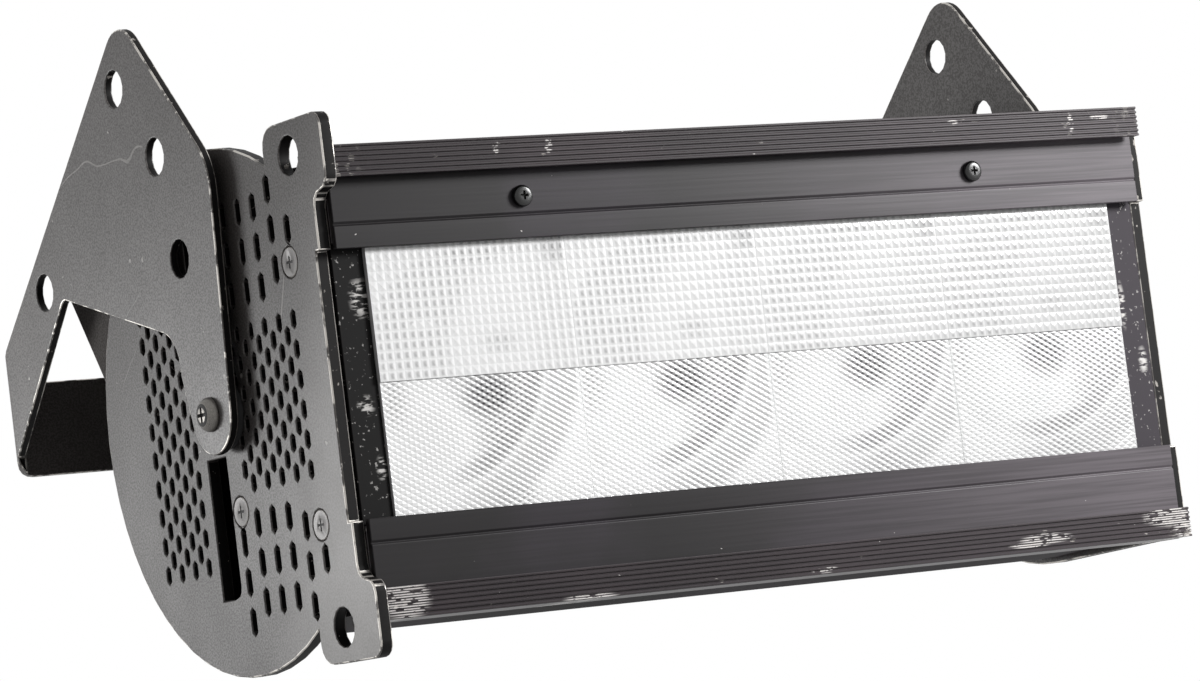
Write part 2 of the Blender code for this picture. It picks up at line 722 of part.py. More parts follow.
def circuit_board(name, x, z, size, seat, standoff, parts):
    """A board on four standoffs; a negative standoff faces it the other way."""
    side = 1 if standoff > 0 else -1
    width, rise = size
    near = seat + standoff
    far = near + side * BOARD_THICKNESS
    board = block(
        name,
        (x - width / 2, min(near, far), z - rise / 2),
        (x + width / 2, max(near, far), z + rise / 2),
        BOARD,
    )
    post = 2 * MM
    overlap = side * BOARD_THICKNESS / 2
    extras = []
    for across in (-1, 1):
        for up in (-1, 1):
            px = x + across * (width / 2 - post)
            pz = z + up * (rise / 2 - post)
            low, high = sorted((seat, near + overlap))
            extras.append(
                block("post", (px - post, low, pz - post), (px + post, high, pz + post), BOARD)
            )
    for (share_x, share_z), height, wide in parts:
        px, pz = x + share_x * width, z + share_z * rise
        low, high = sorted((far - overlap, far + side * abs(height)))
        extras.append(
            block("part", (px - wide / 2, low, pz - wide / 4), (px + wide / 2, high, pz + wide / 4), BOARD)
        )
    combine(board, joined(f"{name}_extras", extras), "UNION")


def drum_outline():
    """A closed wall: flanges under the rails' roofs, straight runs and the round back."""
    centre = (AXIS_SETBACK, 0)
    inner_radius = DRUM_RADIUS - DRUM_WALL
    flange = RAIL_HALF_HEIGHT - ROOF_THICKNESS - GAP
    start = (ROOF_DEPTH, flange)
    touch = tangent_angle(start, centre, DRUM_RADIUS)
    outer = [(DRUM_FRONT, flange), start]
    outer += ribbed_arc(centre, touch)
    outer += [(ROOF_DEPTH, -flange), (DRUM_FRONT, -flange)]
    inner_start = (ROOF_DEPTH, flange - DRUM_WALL)
    inner_touch = tangent_angle(inner_start, centre, inner_radius)
    inner = [(DRUM_FRONT, -flange + DRUM_WALL), (ROOF_DEPTH, -flange + DRUM_WALL)]
    inner += arc(centre, inner_radius, -inner_touch, inner_touch)
    inner += [inner_start, (DRUM_FRONT, flange - DRUM_WALL)]
    return outer + inner


def ribbed_arc(centre, touch):
    """The round back from above to below, with small cooling ribs along its lower part."""
    angles = [-angle for angle in FIN_RIB_ANGLES]
    half = math.degrees(FIN_RIB_WIDTH / 2 / DRUM_RADIUS)
    points = []
    start = touch
    for angle in angles:
        points += arc(centre, DRUM_RADIUS, start, angle + half)
        points += arc(centre, DRUM_RADIUS + FIN_RIB_HEIGHT, angle + half, angle - half)
        start = angle - half
    return points + arc(centre, DRUM_RADIUS, start, -touch)


def make_housing():
    half = RAIL_LENGTH / 2
    drum = extrusion("drum_housing", [drum_outline()], "X", -half, half, ANODISED)
    wide = PANEL_LENGTH / 2 + GAP
    high = PANEL_HEIGHT / 2 + GAP
    window = block(
        "panel_window",
        (-wide, AXIS_SETBACK + DRUM_RADIUS / 2, -high),
        (wide, AXIS_SETBACK + 2 * DRUM_RADIUS, high),
        PLASTIC,
        CUTTERS,
    )
    combine(drum, window, "DIFFERENCE")


def inset(points, distance):
    """An open run of points moved to its left, each corner kept a corner."""
    knots = [Vector(point) for point in points]
    runs = [(b - a).normalized() for a, b in zip(knots, knots[1:])]
    moved = [Vector((-run.y, run.x)) * distance for run in runs]
    corners = [knots[0] + moved[0]]
    for knot, one, two, shift in zip(knots[1:-1], runs, runs[1:], moved):
        half_turn = math.atan2(one.cross(two), one.dot(two)) / 2
        corners.append(knot + shift - one * distance * math.tan(half_turn))
    corners.append(knots[-1] + moved[-1])
    return [tuple(corner) for corner in corners]


def make_wiring_box():
    """A sheet cover on the drum's upper back, open towards the drum, with closed ends."""
    half = RAIL_LENGTH / 2
    radius = DRUM_RADIUS + GAP
    top = BOX_BACK[-1][1]
    low_angle = math.degrees(math.asin(BOX_FLOOR / radius))
    high_angle = math.degrees(math.acos(BOX_FRONT / radius))
    outline = [*BOX_BACK, (BOX_FRONT, top), *arc((0, 0), radius, high_angle, low_angle)]
    box = extrusion("wiring_box", [outline], "X", -half, half, COATED, TILT_AXIS)
    room = inset([(0, BOX_FLOOR), *BOX_BACK, (0, top)], BOX_WALL)
    cut = extrusion(
        "wiring_room", [room], "X", BOX_WALL - half, half - BOX_WALL, PLASTIC, TILT_AXIS, CUTTERS
    )
    combine(box, cut, "DIFFERENCE")


def slot(y, z, size):
    """A vertical vent slot with pointed ends."""
    half, wide = size[0] / 2, size[1] / 2
    shoulder = half - wide * 0.8
    return [
        (y, z - half), (y + wide, z - shoulder), (y + wide, z + shoulder),
        (y, z + half), (y - wide, z + shoulder), (y - wide, z - shoulder),
    ]


def staggered(first, columns, rows):
    """Slots in offset rows, centred on the tilt axis's level."""
    slots = []
    for row in range(2 * rows - 1):
        z = (row - rows + 1) * FINE_PITCH / 2
        offset = row % 2
        for column in range(columns - (offset if columns == FINE_REAR_COLUMNS else 0)):
            slots.append(slot(first + (column + offset / 2) * FINE_PITCH, z, FINE_SLOT))
    return slots


def coarse_vents():
    """Columns of coarse slots above and below the fine front zone."""
    slots = []
    for column, (count, start) in enumerate(COARSE_STARTS):
        y = COARSE_FRONT + column * COARSE_PITCH[0]
        for step in range(count):
            z = start * MM + step * COARSE_PITCH[1]
            slots += [slot(y, z, COARSE_SLOT), slot(y, -z, COARSE_SLOT)]
    return slots


def long_slots():
    """The long upright openings behind the pivot, above and below it."""
    near, far = LONG_SLOT
    low, high = LONG_SLOT_SPAN
    corner = (near + LONG_SLOT_CORNER, -high + LONG_SLOT_CORNER)
    lower = [*arc(corner, LONG_SLOT_CORNER, 180, 270, 3), (far, -high), (far, -low), (near, -low)]
    return [lower, mirrored(lower)]


def left_plate_outline():
    """Lower ear, round back, upper ear and the stepped front edge."""
    bottom = LEFT_RADIUS
    front = -EAR_PROUD
    rear = EAR_REAR
    ear_front = (front + EAR_FRONT_CORNER, bottom - EAR_FRONT_CORNER)
    ear_rear = (rear - EAR_REAR_CORNER, bottom - EAR_REAR_CORNER)
    meet = math.degrees(math.acos((AXIS_SETBACK - rear) / LEFT_RADIUS))
    upper = arc((AXIS_SETBACK, 0), LEFT_RADIUS, 0, 180 - meet, 18)
    upper += arc(ear_rear, EAR_REAR_CORNER, 0, 90, 4)
    upper += arc(ear_front, EAR_FRONT_CORNER, 90, 180, 4)
    upper += front_edge(front, EAR_NECK)
    return mirrored(upper)[:-1] + upper


def front_edge(front, neck):
    """Front edge going down: an S-curve back from the ear, then the step beside the window."""
    radius = (EDGE_SETBACK - front) / 2
    curve = arc((front + radius, neck), radius, 180, 270, 3)
    curve += arc((EDGE_SETBACK - radius, neck - 2 * radius), radius, 90, 0, 3)[1:]
    return curve + [(EDGE_SETBACK, EDGE_STEP), (EDGE_DEEP_SETBACK, EDGE_STEP)]


def right_plate_outline():
    """The housing's own outline with a small margin, and no ears."""
    centre = (AXIS_SETBACK, 0)
    start = (ROOF_DEPTH, RAIL_HALF_HEIGHT)
    touch = tangent_angle(start, centre, RIGHT_RADIUS)
    corner = (EDGE_SETBACK + EAR_FRONT_CORNER, RAIL_HALF_HEIGHT - EAR_FRONT_CORNER)
    upper = arc(centre, RIGHT_RADIUS, 0, touch, 14)
    upper += [start]
    upper += arc(corner, EAR_FRONT_CORNER, 90, 180, 4)
    upper += [(EDGE_SETBACK, EDGE_STEP), (EDGE_DEEP_SETBACK, EDGE_STEP)]
    return mirrored(upper)[:-1] + upper


def right_vents():
    """A plainer pattern of coarse slots: a block over the fan and another behind the axis."""
    slots = []
    for first, columns in ((COARSE_FRONT, len(COARSE_STARTS)), (FINE_REAR, RIGHT_REAR_COLUMNS)):
        for column in range(columns):
            shift = column % 2 / 2
            for row in range(-RIGHT_VENT_ROWS, RIGHT_VENT_ROWS + 1 - column % 2):
                z = (row + shift) * COARSE_PITCH[1]
                slots.append(slot(first + column * COARSE_PITCH[0], z, COARSE_SLOT))
    return slots


def make_end_plates():
    pivot = circle((AXIS_SETBACK, 0), PIVOT_RADIUS + GAP, 10)
    ears = [circle((EAR_HOLE[0], side * EAR_HOLE[1]), BOLT_RADIUS, BOLT_STEPS) for side in (1, -1)]
    left_holes = staggered(FINE_FRONT, FINE_FRONT_COLUMNS, FINE_FRONT_ROWS)
    left_holes += staggered(FINE_REAR, FINE_REAR_COLUMNS, FINE_REAR_ROWS)
    left_holes += coarse_vents() + long_slots()
    left = extrusion(
        "left_end_plate", [left_plate_outline(), pivot, *ears, *left_holes], "X",
        -PLATE_OUTER, -PLATE_INNER, COATED,
    )
    wing_hole = circle(WING_CENTRE, WING_SHANK + GAP, 8)
    right = extrusion(
        "right_end_plate", [right_plate_outline(), pivot, wing_hole, *right_vents()], "X",
        PLATE_INNER, PLATE_OUTER, COATED,
    )
    for plate, side, towards in ((left, "left", "-X"), (right, "right", "+X")):
        sign = 1 if towards == "+X" else -1
        for row, (y, z) in zip(("front", "rear"), PORTS):
            for level, up in (("upper", 1), ("lower", -1)):
                seat = at(sign * PLATE_OUTER, y, up * z)
                name = f"{side}_screw_{row}_{level}"
                screw = turned(name, countersunk(CSK_LENGTH), towards, seat, 10, COATED)
                cross_recess(screw, seat, towards, 0, CSK_RADIUS * 0.5)
                sink = turned(f"{name}_sink", countersink(), towards, seat, 12, PLASTIC, CUTTERS)
                combine(plate, sink, "DIFFERENCE")


def countersink():
    """The clearance cut for a countersunk head and its shank."""
    wide = CSK_RADIUS + GAP
    narrow = CSK_SHANK + GAP
    above = MM
    rim = RECESS_DEPTH / 4 + GAP / 2
    return [
        (0, above),
        (wide, above),
        (wide, -rim),
        (narrow, -CSK_DEPTH - GAP / 2),
        (narrow, -2 * END_PLATE_THICKNESS),
        (0, -2 * END_PLATE_THICKNESS),
    ]


def make_wing_screw():
    """A two-lobed wing on a short screw through the right end plate."""
    seat = PLATE_OUTER + GAP
    lobe_half = math.degrees(math.asin(WING_WAIST / WING_LOBE))
    lobe = arc((0, WING_REACH), WING_LOBE, -90 + lobe_half, 270 - lobe_half, 10)
    outline = lobe + [(-x, -y) for x, y in lobe]
    lean = math.radians(WING_LEAN)
    turned_outline = [
        (
            WING_CENTRE[0] + x * math.cos(lean) - y * math.sin(lean),
            WING_CENTRE[1] + x * math.sin(lean) + y * math.cos(lean),
        )
        for x, y in outline
    ]
    wing = extrusion(
        "wing_screw", [turned_outline], "X", seat, seat + WING_THICKNESS, STEEL
    )
    tip, root = PLATE_INNER, seat + WING_THICKNESS / 2
    shank = cylinder(
        "wing_shank", "X", at((tip + root) / 2, *WING_CENTRE), WING_SHANK, root - tip
    )
    combine(wing, shank, "UNION")


def make_fans():
    """Square frames with a spider on the inner side, and seven-bladed rotors."""
    half = FAN_SIZE / 2
    low = (FAN_SETBACK - half, -half)
    high = (FAN_SETBACK + half, half)
    centre = (FAN_SETBACK, 0)
    bore = circle(centre, FAN_BORE, 20)
    step = 360 / 4
    arm = 8
    openings = []
    for quarter in range(4):
        start = quarter * step + arm
        end = (quarter + 1) * step - arm
        inner_arm = arm / 2
        openings.append(
            arc(centre, FAN_BORE - MM, start, end, 5)
            + arc(centre, FAN_HUB, end - inner_arm, start + inner_arm, 3)
        )
    outer_face = PLATE_INNER - GAP
    inner_face = outer_face - FAN_DEPTH
    for side, sign in (("left", -1), ("right", 1)):
        body = sorted((sign * outer_face, sign * (inner_face + FAN_SPIDER / 2)))
        frame = extrusion(
            f"{side}_fan_frame", [rounded_rectangle(low, high, FAN_CORNER, 2), bore], "X",
            *body, PLASTIC,
        )
        margin = GAP
        small = rounded_rectangle(
            (low[0] + margin, low[1] + margin), (high[0] - margin, high[1] - margin), FAN_CORNER, 2
        )
        span = sorted((sign * inner_face, sign * (inner_face + FAN_SPIDER)))
        spider = extrusion(
            f"{side}_fan_spider", [small, *openings], "X", *span, PLASTIC, collection=CUTTERS
        )
        combine(frame, spider, "UNION")
        make_rotor(side, sign, inner_face + FAN_SPIDER + GAP, outer_face - 2 * GAP)


def make_rotor(side, sign, inner, outer):
    hub_radius = FAN_HUB - GAP
    depth = outer - inner
    profile = [(0, depth), (hub_radius, depth), (hub_radius, 0), (0, 0)]
    towards = "+X" if sign > 0 else "-X"
    rotor = turned(
        f"{side}_fan_rotor", profile, towards, at(sign * inner, FAN_SETBACK, 0), 12, PLASTIC
    )
    blades = []
    middle = at(sign * (inner + outer) / 2, FAN_SETBACK, 0)
    reach = FAN_BORE - 3 * GAP
    root = hub_radius - MM
    chord = depth * 0.9
    for number in range(BLADE_COUNT):
        blade = block(
            f"{side}_blade_{number}",
            (-FIN_THICKNESS / 2, -chord / 2, root),
            (FIN_THICKNESS / 2, chord / 2, reach),
            PLASTIC,
            CUTTERS,
            origin=Vector((0, 0, 0)),
        )
        blade.matrix_world = (
            Matrix.Translation(middle)
            @ Matrix.Rotation(math.radians(360 * number / BLADE_COUNT), 4, "X")
            @ Matrix.Rotation(math.radians(sign * BLADE_PITCH), 4, "Z")
            @ Matrix.Translation((0, 0, (root + reach) / 2))
        )
        blades.append(blade)
    combine(rotor, joined(f"{side}_blades", blades), "UNION")


def make_rear_panel():
    half = (PANEL_LENGTH / 2, PANEL_HEIGHT / 2)
    holes = [circle((x, 0), POWER_RADIUS + GAP, 16) for x in POWER_AT]
    holes += [circle((x, 0), DATA_RADIUS + GAP, 16) for x in DATA_AT]
    wide, high = DISPLAY_SIZE[0] / 2, DISPLAY_SIZE[1] / 2
    x, z = DISPLAY_AT
    holes.append(rectangle((x - wide - GAP, z - high - GAP), (x + wide + GAP, z + high + GAP)))
    holes += [circle((x, BUTTON_RISE), BUTTON_RADIUS + GAP, 10) for x in BUTTON_AT]
    outline = rectangle((-half[0], -half[1]), half)
    extrusion("rear_panel", [outline, *holes], "Y", PANEL_FRONT, PANEL_SETBACK, COATED)
    block(
        "display_window",
        (x - wide, PANEL_FRONT, z - high),
        (x + wide, PANEL_SETBACK, z + high),
        ACRYLIC,
    )
    make_connectors()
    make_buttons()


def make_connectors():
    for names, places, radius in (
        (("power_inlet", "power_outlet"), POWER_AT, POWER_RADIUS),
        (("data_inlet", "data_outlet"), DATA_AT, DATA_RADIUS),
    ):
        core = radius / 3
        bottom = FLANGE_THICKNESS - SOCKET_DEPTH
        profile = [
            (0, 0),
            (core, 0),
            (core, bottom),
            (radius - SOCKET_WALL, bottom),
            (radius - SOCKET_WALL, FLANGE_THICKNESS),
            (radius + FLANGE_EXTRA, FLANGE_THICKNESS),
            (radius + FLANGE_EXTRA, 0),
            (radius, 0),
            (radius, -BARREL_DEPTH),
            (0, -BARREL_DEPTH),
        ]
        for name, x in zip(names, places):
            turned(name, profile, "+Y", at(x, PANEL_SETBACK + GAP, 0), 16, PLASTIC)


def make_buttons():
    """Each sits in the panel with its collar behind it, and travels towards the board."""
    collar = BUTTON_RADIUS + BUTTON_COLLAR
    top = PANEL_SETBACK + BUTTON_PROUD - COLLAR_FRONT
    profile = [
        (0, top),
        (BUTTON_RADIUS, top),
        (BUTTON_RADIUS, BUTTON_COLLAR_DEPTH),
        (collar, BUTTON_COLLAR_DEPTH),
        (collar, 0),
        (0, 0),
    ]
    for number, x in enumerate(BUTTON_AT, 1):
        turned(f"menu_button_{number}", profile, "+Y", at(x, COLLAR_FRONT, BUTTON_RISE), 10, RUBBER)


def arm_outline():
    """The yoke seen from the side, from the tilt axis: both arms and the bar behind them."""
    bar_low = BAR_RISE - BAR_HALF_HEIGHT
    heel = YOKE_REACH - YOKE_BEND
    rear_edge, front_edge, shoulder_end = 48.5, 138.7, 183.4
    notch_front, notch_rear = 106.8, 44.4
    return [
        (YOKE_REACH, bar_low),
        (YOKE_REACH, ARM_TOP),
        *arc(APEX, APEX_RADIUS, rear_edge, front_edge, 8),
        *arc(SHOULDER, SHOULDER_RADIUS, front_edge, shoulder_end, 5),
        *arc((0, 0), YOKE_LOBE, 184, 346, 14),
        *arc(THROAT, THROAT_RADIUS, 190, 112, 6),
        *arc(NOTCH, NOTCH_RADIUS, notch_front, notch_rear, 5),
        (heel, HEEL_RISE),
        (heel, bar_low),
    ]


def make_yoke():
    """One bent plate: a U section cut to the side outline, then drilled."""
    outer, inner = ARM_OUTER, ARM_INNER
    back, front = YOKE_REACH, YOKE_REACH - YOKE_THICKNESS
    fold = YOKE_BEND - YOKE_THICKNESS
    reach = -2 * YOKE_LOBE
    bend_outer = arc((outer - YOKE_BEND, back - YOKE_BEND), YOKE_BEND, 0, 90, 4)
    bend_inner = arc((outer - YOKE_BEND, back - YOKE_BEND), fold, 90, 0, 4)
    right = [(inner, reach), (outer, reach), *bend_outer]
    left = [(-x, y) for x, y in reversed(right)]
    inside = [(-x, y) for x, y in reversed(bend_inner)]
    section = right + left + inside + bend_inner
    height = 2 * YOKE_REACH
    yoke = extrusion(
        "yoke_bracket", [section], "Z", -height / 2, height / 2, COATED, origin=TILT_AXIS
    )
    holes = [circle((y * MM, z * MM), BOLT_RADIUS, BOLT_STEPS) for y, z in YOKE_HOLES]
    holes.append(circle((0, 0), PIVOT_RADIUS + GAP, 10))
    side = extrusion(
        "yoke_side", [arm_outline(), *holes], "X", -2 * outer, 2 * outer, PLASTIC,
        origin=TILT_AXIS, collection=CUTTERS,
    )
    combine(yoke, side, "INTERSECT")
    trim_bar(yoke, inner - fold, front - YOKE_BEND, back + YOKE_BEND)
    for number, x in enumerate(BAR_HOLES, 1):
        centre = TILT_AXIS + Vector((x, back, BAR_RISE))
        bore = cylinder(f"bar_bore_{number}", "Y", centre, BOLT_RADIUS, 4 * YOKE_BEND, BOLT_STEPS)
        combine(yoke, bore, "DIFFERENCE")


def trim_bar(yoke, half_length, low, high):
    """Lower the bar between the bends, and round its lower corners."""
    bar_low = BAR_RISE - BAR_HALF_HEIGHT
    bar_high = BAR_RISE + BAR_HALF_HEIGHT
    above = block(
        "above_bar", (-half_length, low, bar_high), (half_length, high, 2 * ARM_TOP),
        PLASTIC, CUTTERS, TILT_AXIS,
    )
    combine(yoke, above, "DIFFERENCE")
    centre = (ARM_OUTER - BAR_CORNER, bar_low + BAR_CORNER)
    corner = [
        *arc(centre, BAR_CORNER, -90, 0, 5),
        (ARM_OUTER + BAR_CORNER, centre[1]),
        (ARM_OUTER + BAR_CORNER, bar_low - BAR_CORNER),
        (centre[0], bar_low - BAR_CORNER),
    ]
    for name, side in (("left_bar_corner", -1), ("right_bar_corner", 1)):
        outline = [(side * x, z) for x, z in corner]
        cut = extrusion(name, [outline], "Y", low, high, PLASTIC, TILT_AXIS, CUTTERS)
        combine(yoke, cut, "DIFFERENCE")


def make_pivots():
    """Outward from the plate: nut inside, washer, arm, and the pan head outside the arm."""
    hexagon = circle((AXIS_SETBACK, 0), NUT_ACROSS / math.sqrt(3), 6)
    hole = circle((AXIS_SETBACK, 0), PIVOT_RADIUS + GAP, 10)
    ring = circle((AXIS_SETBACK, 0), WASHER_RADIUS, 16)
    nut_out = PLATE_INNER - GAP
    length = ARM_OUTER + GAP - nut_out + NUT_THICKNESS
    profile = pan_head(PIVOT_HEAD_RADIUS, PIVOT_HEAD_HEIGHT, PIVOT_RADIUS, length)
    for side, sign, towards in (("left", -1, "-X"), ("right", 1, "+X")):
        nut = sorted((sign * (nut_out - NUT_THICKNESS), sign * nut_out))
        extrusion(f"{side}_pivot_nut", [hexagon, hole], "X", *nut, STEEL)
        washer = sorted((sign * (PLATE_OUTER + GAP), sign * WASHER_OUT))
        extrusion(f"{side}_friction_washer", [ring, hole], "X", *washer, NYLON)
        seat = at(sign * (ARM_OUTER + GAP), AXIS_SETBACK, 0)
        screw = turned(f"{side}_pivot_screw", profile, towards, seat, 12, STEEL)
        cross_recess(screw, seat, towards, PIVOT_HEAD_HEIGHT, PIVOT_HEAD_RADIUS * 0.6)


def shade_round_pieces():
    """Smooth faces with sharp edges kept, on the pieces that are already meshes."""
    for obj in PARTS.objects:
        if not obj.modifiers:
            obj.data.shade_smooth()
            obj.data.set_sharp_from_angle(angle=math.radians(35))


make_rails()
make_bezels()
make_side_trims()
make_optics()
make_heat_sink()
make_electronics()
make_housing()
make_wiring_box()
make_end_plates()
make_wing_screw()
make_fans()
make_rear_panel()
make_yoke()
make_pivots()
shade_round_pieces()
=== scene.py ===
import json
import math

import bpy
from bpy.props import FloatProperty, IntProperty, PointerProperty, StringProperty
from bpy.types import Operator, Panel, PropertyGroup
from mathutils import Matrix, Vector


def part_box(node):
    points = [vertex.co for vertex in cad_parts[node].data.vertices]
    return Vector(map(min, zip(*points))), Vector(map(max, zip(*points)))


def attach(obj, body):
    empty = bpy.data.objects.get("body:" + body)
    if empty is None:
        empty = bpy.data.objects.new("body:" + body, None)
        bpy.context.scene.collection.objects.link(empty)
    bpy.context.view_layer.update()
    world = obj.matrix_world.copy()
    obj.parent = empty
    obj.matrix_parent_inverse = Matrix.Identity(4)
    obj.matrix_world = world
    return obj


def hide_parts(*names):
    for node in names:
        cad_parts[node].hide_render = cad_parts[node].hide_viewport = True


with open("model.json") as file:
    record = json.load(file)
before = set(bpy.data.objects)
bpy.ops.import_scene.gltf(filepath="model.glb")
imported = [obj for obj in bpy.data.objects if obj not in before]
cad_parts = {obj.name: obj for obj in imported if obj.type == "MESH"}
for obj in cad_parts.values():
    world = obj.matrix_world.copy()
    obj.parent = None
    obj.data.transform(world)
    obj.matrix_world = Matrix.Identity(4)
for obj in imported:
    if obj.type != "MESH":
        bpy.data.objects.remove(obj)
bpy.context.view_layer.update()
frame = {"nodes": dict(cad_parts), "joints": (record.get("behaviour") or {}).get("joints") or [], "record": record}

bl_info = {
    "name": "Linear wash light finishes",
    "version": (1, 0, 0),
    "blender": (4, 5, 0),
    "location": "View3D > Sidebar > Wash Light",
    "description": "Dresses the frame of a linear LED wash light: coats, prisms, screws and studio",
    "category": "Object",
}

MM = 0.001
TOUCH = 0.01 * MM  # points closer than this are one
LENSES = [f"lens_cell_{n}" for n in range(1, 5)]
REFLECTORS = [f"reflector_{n}" for n in range(1, 5)]
AXIS = next(joint["pos_m"] for joint in frame["joints"] if joint["name"] == "yoke_tilt")
AXIS_Y, AXIS_Z = AXIS[1], AXIS[2]
EDGE_ANGLE = math.radians(28)  # corners that bend less than this stay as they are
ARM_THICKNESS = 3.2 * MM  # the yoke's arms, with a little room
LENS_JOINT = 0.06 * MM  # gap between neighbouring lenses
LENS_STEP = 0.6 * MM  # how far the fine half lies behind the coarse half
DIAMOND_LEAN = 30  # degrees between a diamond's side and the lens's width
PLATE_RUN, YOKE_RUN = 100 * MM, 40 * MM  # shorter runs of a plate's or the yoke's edge keep their coat
BOWL_NECK, BOWL_WALL = 10.6 * MM, 1.2 * MM

# Screws in mm: radius and height of the head, rounding of its rim, reach and depth of its cross, radius of
# the shank, and then how much wider the cross is than the recess width.
PIVOT_SCREW = (5.75, 3.4, 3.2, 3.5, 1.2, 3.0, 1.4)
BEZEL_SCREW = (3.6, 2.0, 1.3, 1.9, 1.2, 1.6, 1.0)
COUNTERSUNK = (5.0, 0.35, 0.33, 2.7, 0.32, 2.2, 1.0)
CONE_DEPTH = 2.65 * MM  # countersink below its head's flat
FLAT_RIM = 0.5 * MM  # a smaller rounding makes a flat head with a pale rim, painted highlight and bare metal
CROSS_TAPER = 0.55  # how much of a cross's width is left at its bottom
CROSS_SHARE, RIM_SHARE = 0.62, 0.86  # shares of a head's radius where its cross ends and its rim starts

# Which way a screw's head faces, and the turn that brings it there from +Z.
FACING = {
    "left": (Vector((-1, 0, 0)), (0, -math.pi / 2, 0)),
    "right": (Vector((1, 0, 0)), (0, math.pi / 2, 0)),
    "front": (Vector((0, -1, 0)), (math.pi / 2, 0, 0)),
}

# Contact pins of a socket, and the radius of the circle they stand on as a share of the socket's width.
PIN_RADIUS, PIN_LENGTH, PIN_SETBACK = 0.9 * MM, 1.4 * MM, 1.5 * MM
PIN_CIRCLE = 0.081

# Finishes of one tone, with what each gives the eye: material name, colour, roughness, metallic, size and
# depth of its grain in mm, and its darker tone.
PLAIN = {
    # a soft grey glint round the dark cross of the pivot
    "zinc": ("bright_zinc_steel", "75726e", 0.3, 1.0, 0.4, 0.006),
    # painted shade: a hollow coloured dark enough for a cross to read from afar
    "recess": ("painted_shade_in_recess", "191817", 0.6),
    # the coat of the plate round it, with darker rubs
    "head_coat": ("coated_screw_head", "6f6b69", 0.35, 0.1, 0.4, 0.01, "504c4a"),
    # a thin pale ring that draws each flush head: painted highlight on its rim, with rubbed metal
    "rim_highlight_and_rub": ("rubbed_screw_rim", "b5b1ac", 0.35, 0.4, 0.5, 0.01, "77736f"),
    # one small sharp glint on black
    "black_screw": ("blackened_screw", "0d0d0d", 0.22),
    # a broad faint sheen
    "black_plastic": ("moulded_black_plastic", "1f1f20", 0.5, 0.0, 0.6),
    # nearly lost in the dark behind the vents
    "fan_plastic": ("fan_plastic", "121213", 0.6, 0.0, 0.6),
    # a dull dark ring beside the arm
    "nylon": ("black_nylon", "232324", 0.6),
    # a mirror that carries the lamps' light
    "metallised": ("metallised_bowl", "e4e4e6", 0.12, 1.0, 3, 0.02),
    # soft grey metal with no edge to its highlight
    "aluminium": ("bare_aluminium", "b9babb", 0.38, 1.0, 0.7),
    # a clean white ground for the emitters
    "white_board": ("white_solder_mask", "e9e8e3", 0.45),
    # a warm yellow square in each bowl
    "phosphor": ("led_phosphor", "e8c660", 0.35, 0.0, 0.3, 0.03),
    # a satin green
    "board": ("green_board_laminate", "1f5b35", 0.4, 0.0, 1.2),
    # a matt grey that takes no glint
    "silicone": ("grey_silicone", "55565a", 0.7, 0.0, 0.5),
    # black glass with a clear reflection
    "display": ("dark_display_window", "10151a", 0.1, 0.0, 6, 0.001),
    # a warm glint inside the sockets
    "brass": ("plated_contact", "c8a75a", 0.3, 1.0),
}

# Scratches in the near plates' coat in mm from the tilt axis: start, end, half width, sway and strength.
SCRATCHES = (
    ((88, 92), (27, 93), 0.22, 5, 0.5), ((-47.6, 36), (-44, 27), 0.45, 0.6, 0.75),
    ((70, 20), (40, 48), 0.12, 3, 0.2),
)

# Rubbed spots there: place, radius, radius where they end and strength.
SPOTS = (((44.3, 57.7), 0.4, 0.9, 0.9), ((-12.4, 11), 0.4, 1.3, 0.8))

# Worn places on the rails in mm: x, z, half length and half height.
KNOCKS = (
    (99, 15.6, 13, 2.2), (92, 14, 10, 1.2), (6, 12.8, 6, 1.2), (-87, 12, 12, 1.2), (154, 19, 14, 4),
    (160, 15, 6, 6), (-156, 17.5, 11, 8), (-82, 160, 1.6, 3), (-102, 160, 1.2, 3), (82, 161, 3, 1),
    (133, 159, 1.2, 4), (146, 160.5, 5, 1),
)

# Rubbed places on the window trims in mm: x, z, reach and how much they are squashed in height.
RUBS = (
    (-153.5, 115, 5, 0.6), (-156, 80.5, 4, 1), (-153, 60, 2.5, 0.5), (153, 95, 2, 0.2),
    (159, 75, 2.5, 0.4),
)

KEY_LAMP = ((-0.62, 0.57, 0.03), 0.26)  # place and side in metres
FRONT_LAMP = ((0.8, -0.85, 0.5), 0.35)
WORLD_LIGHT = 0.13  # what the white world gives as light
FLOOR_GLOW = 0.75  # how white the floor is where no lamp reaches it
FLOOR_SIZE, FLOOR_DROP = 12, 0.3 * MM  # its side, and how far it lies below the light's foot
CAMERA_LENS = 155.139  # mm, on a sensor 36 mm wide
CAMERA_PLACE = (-0.97864, -1.53322, -0.03813)
CAMERA_RIGHT = (0.84109528, -0.52681123, -0.12259142)
CAMERA_DOWN = (-0.06141604, 0.13216462, -0.9893233)
CAMERA_FORWARD = (0.53738887, 0.83964424, 0.07880838)


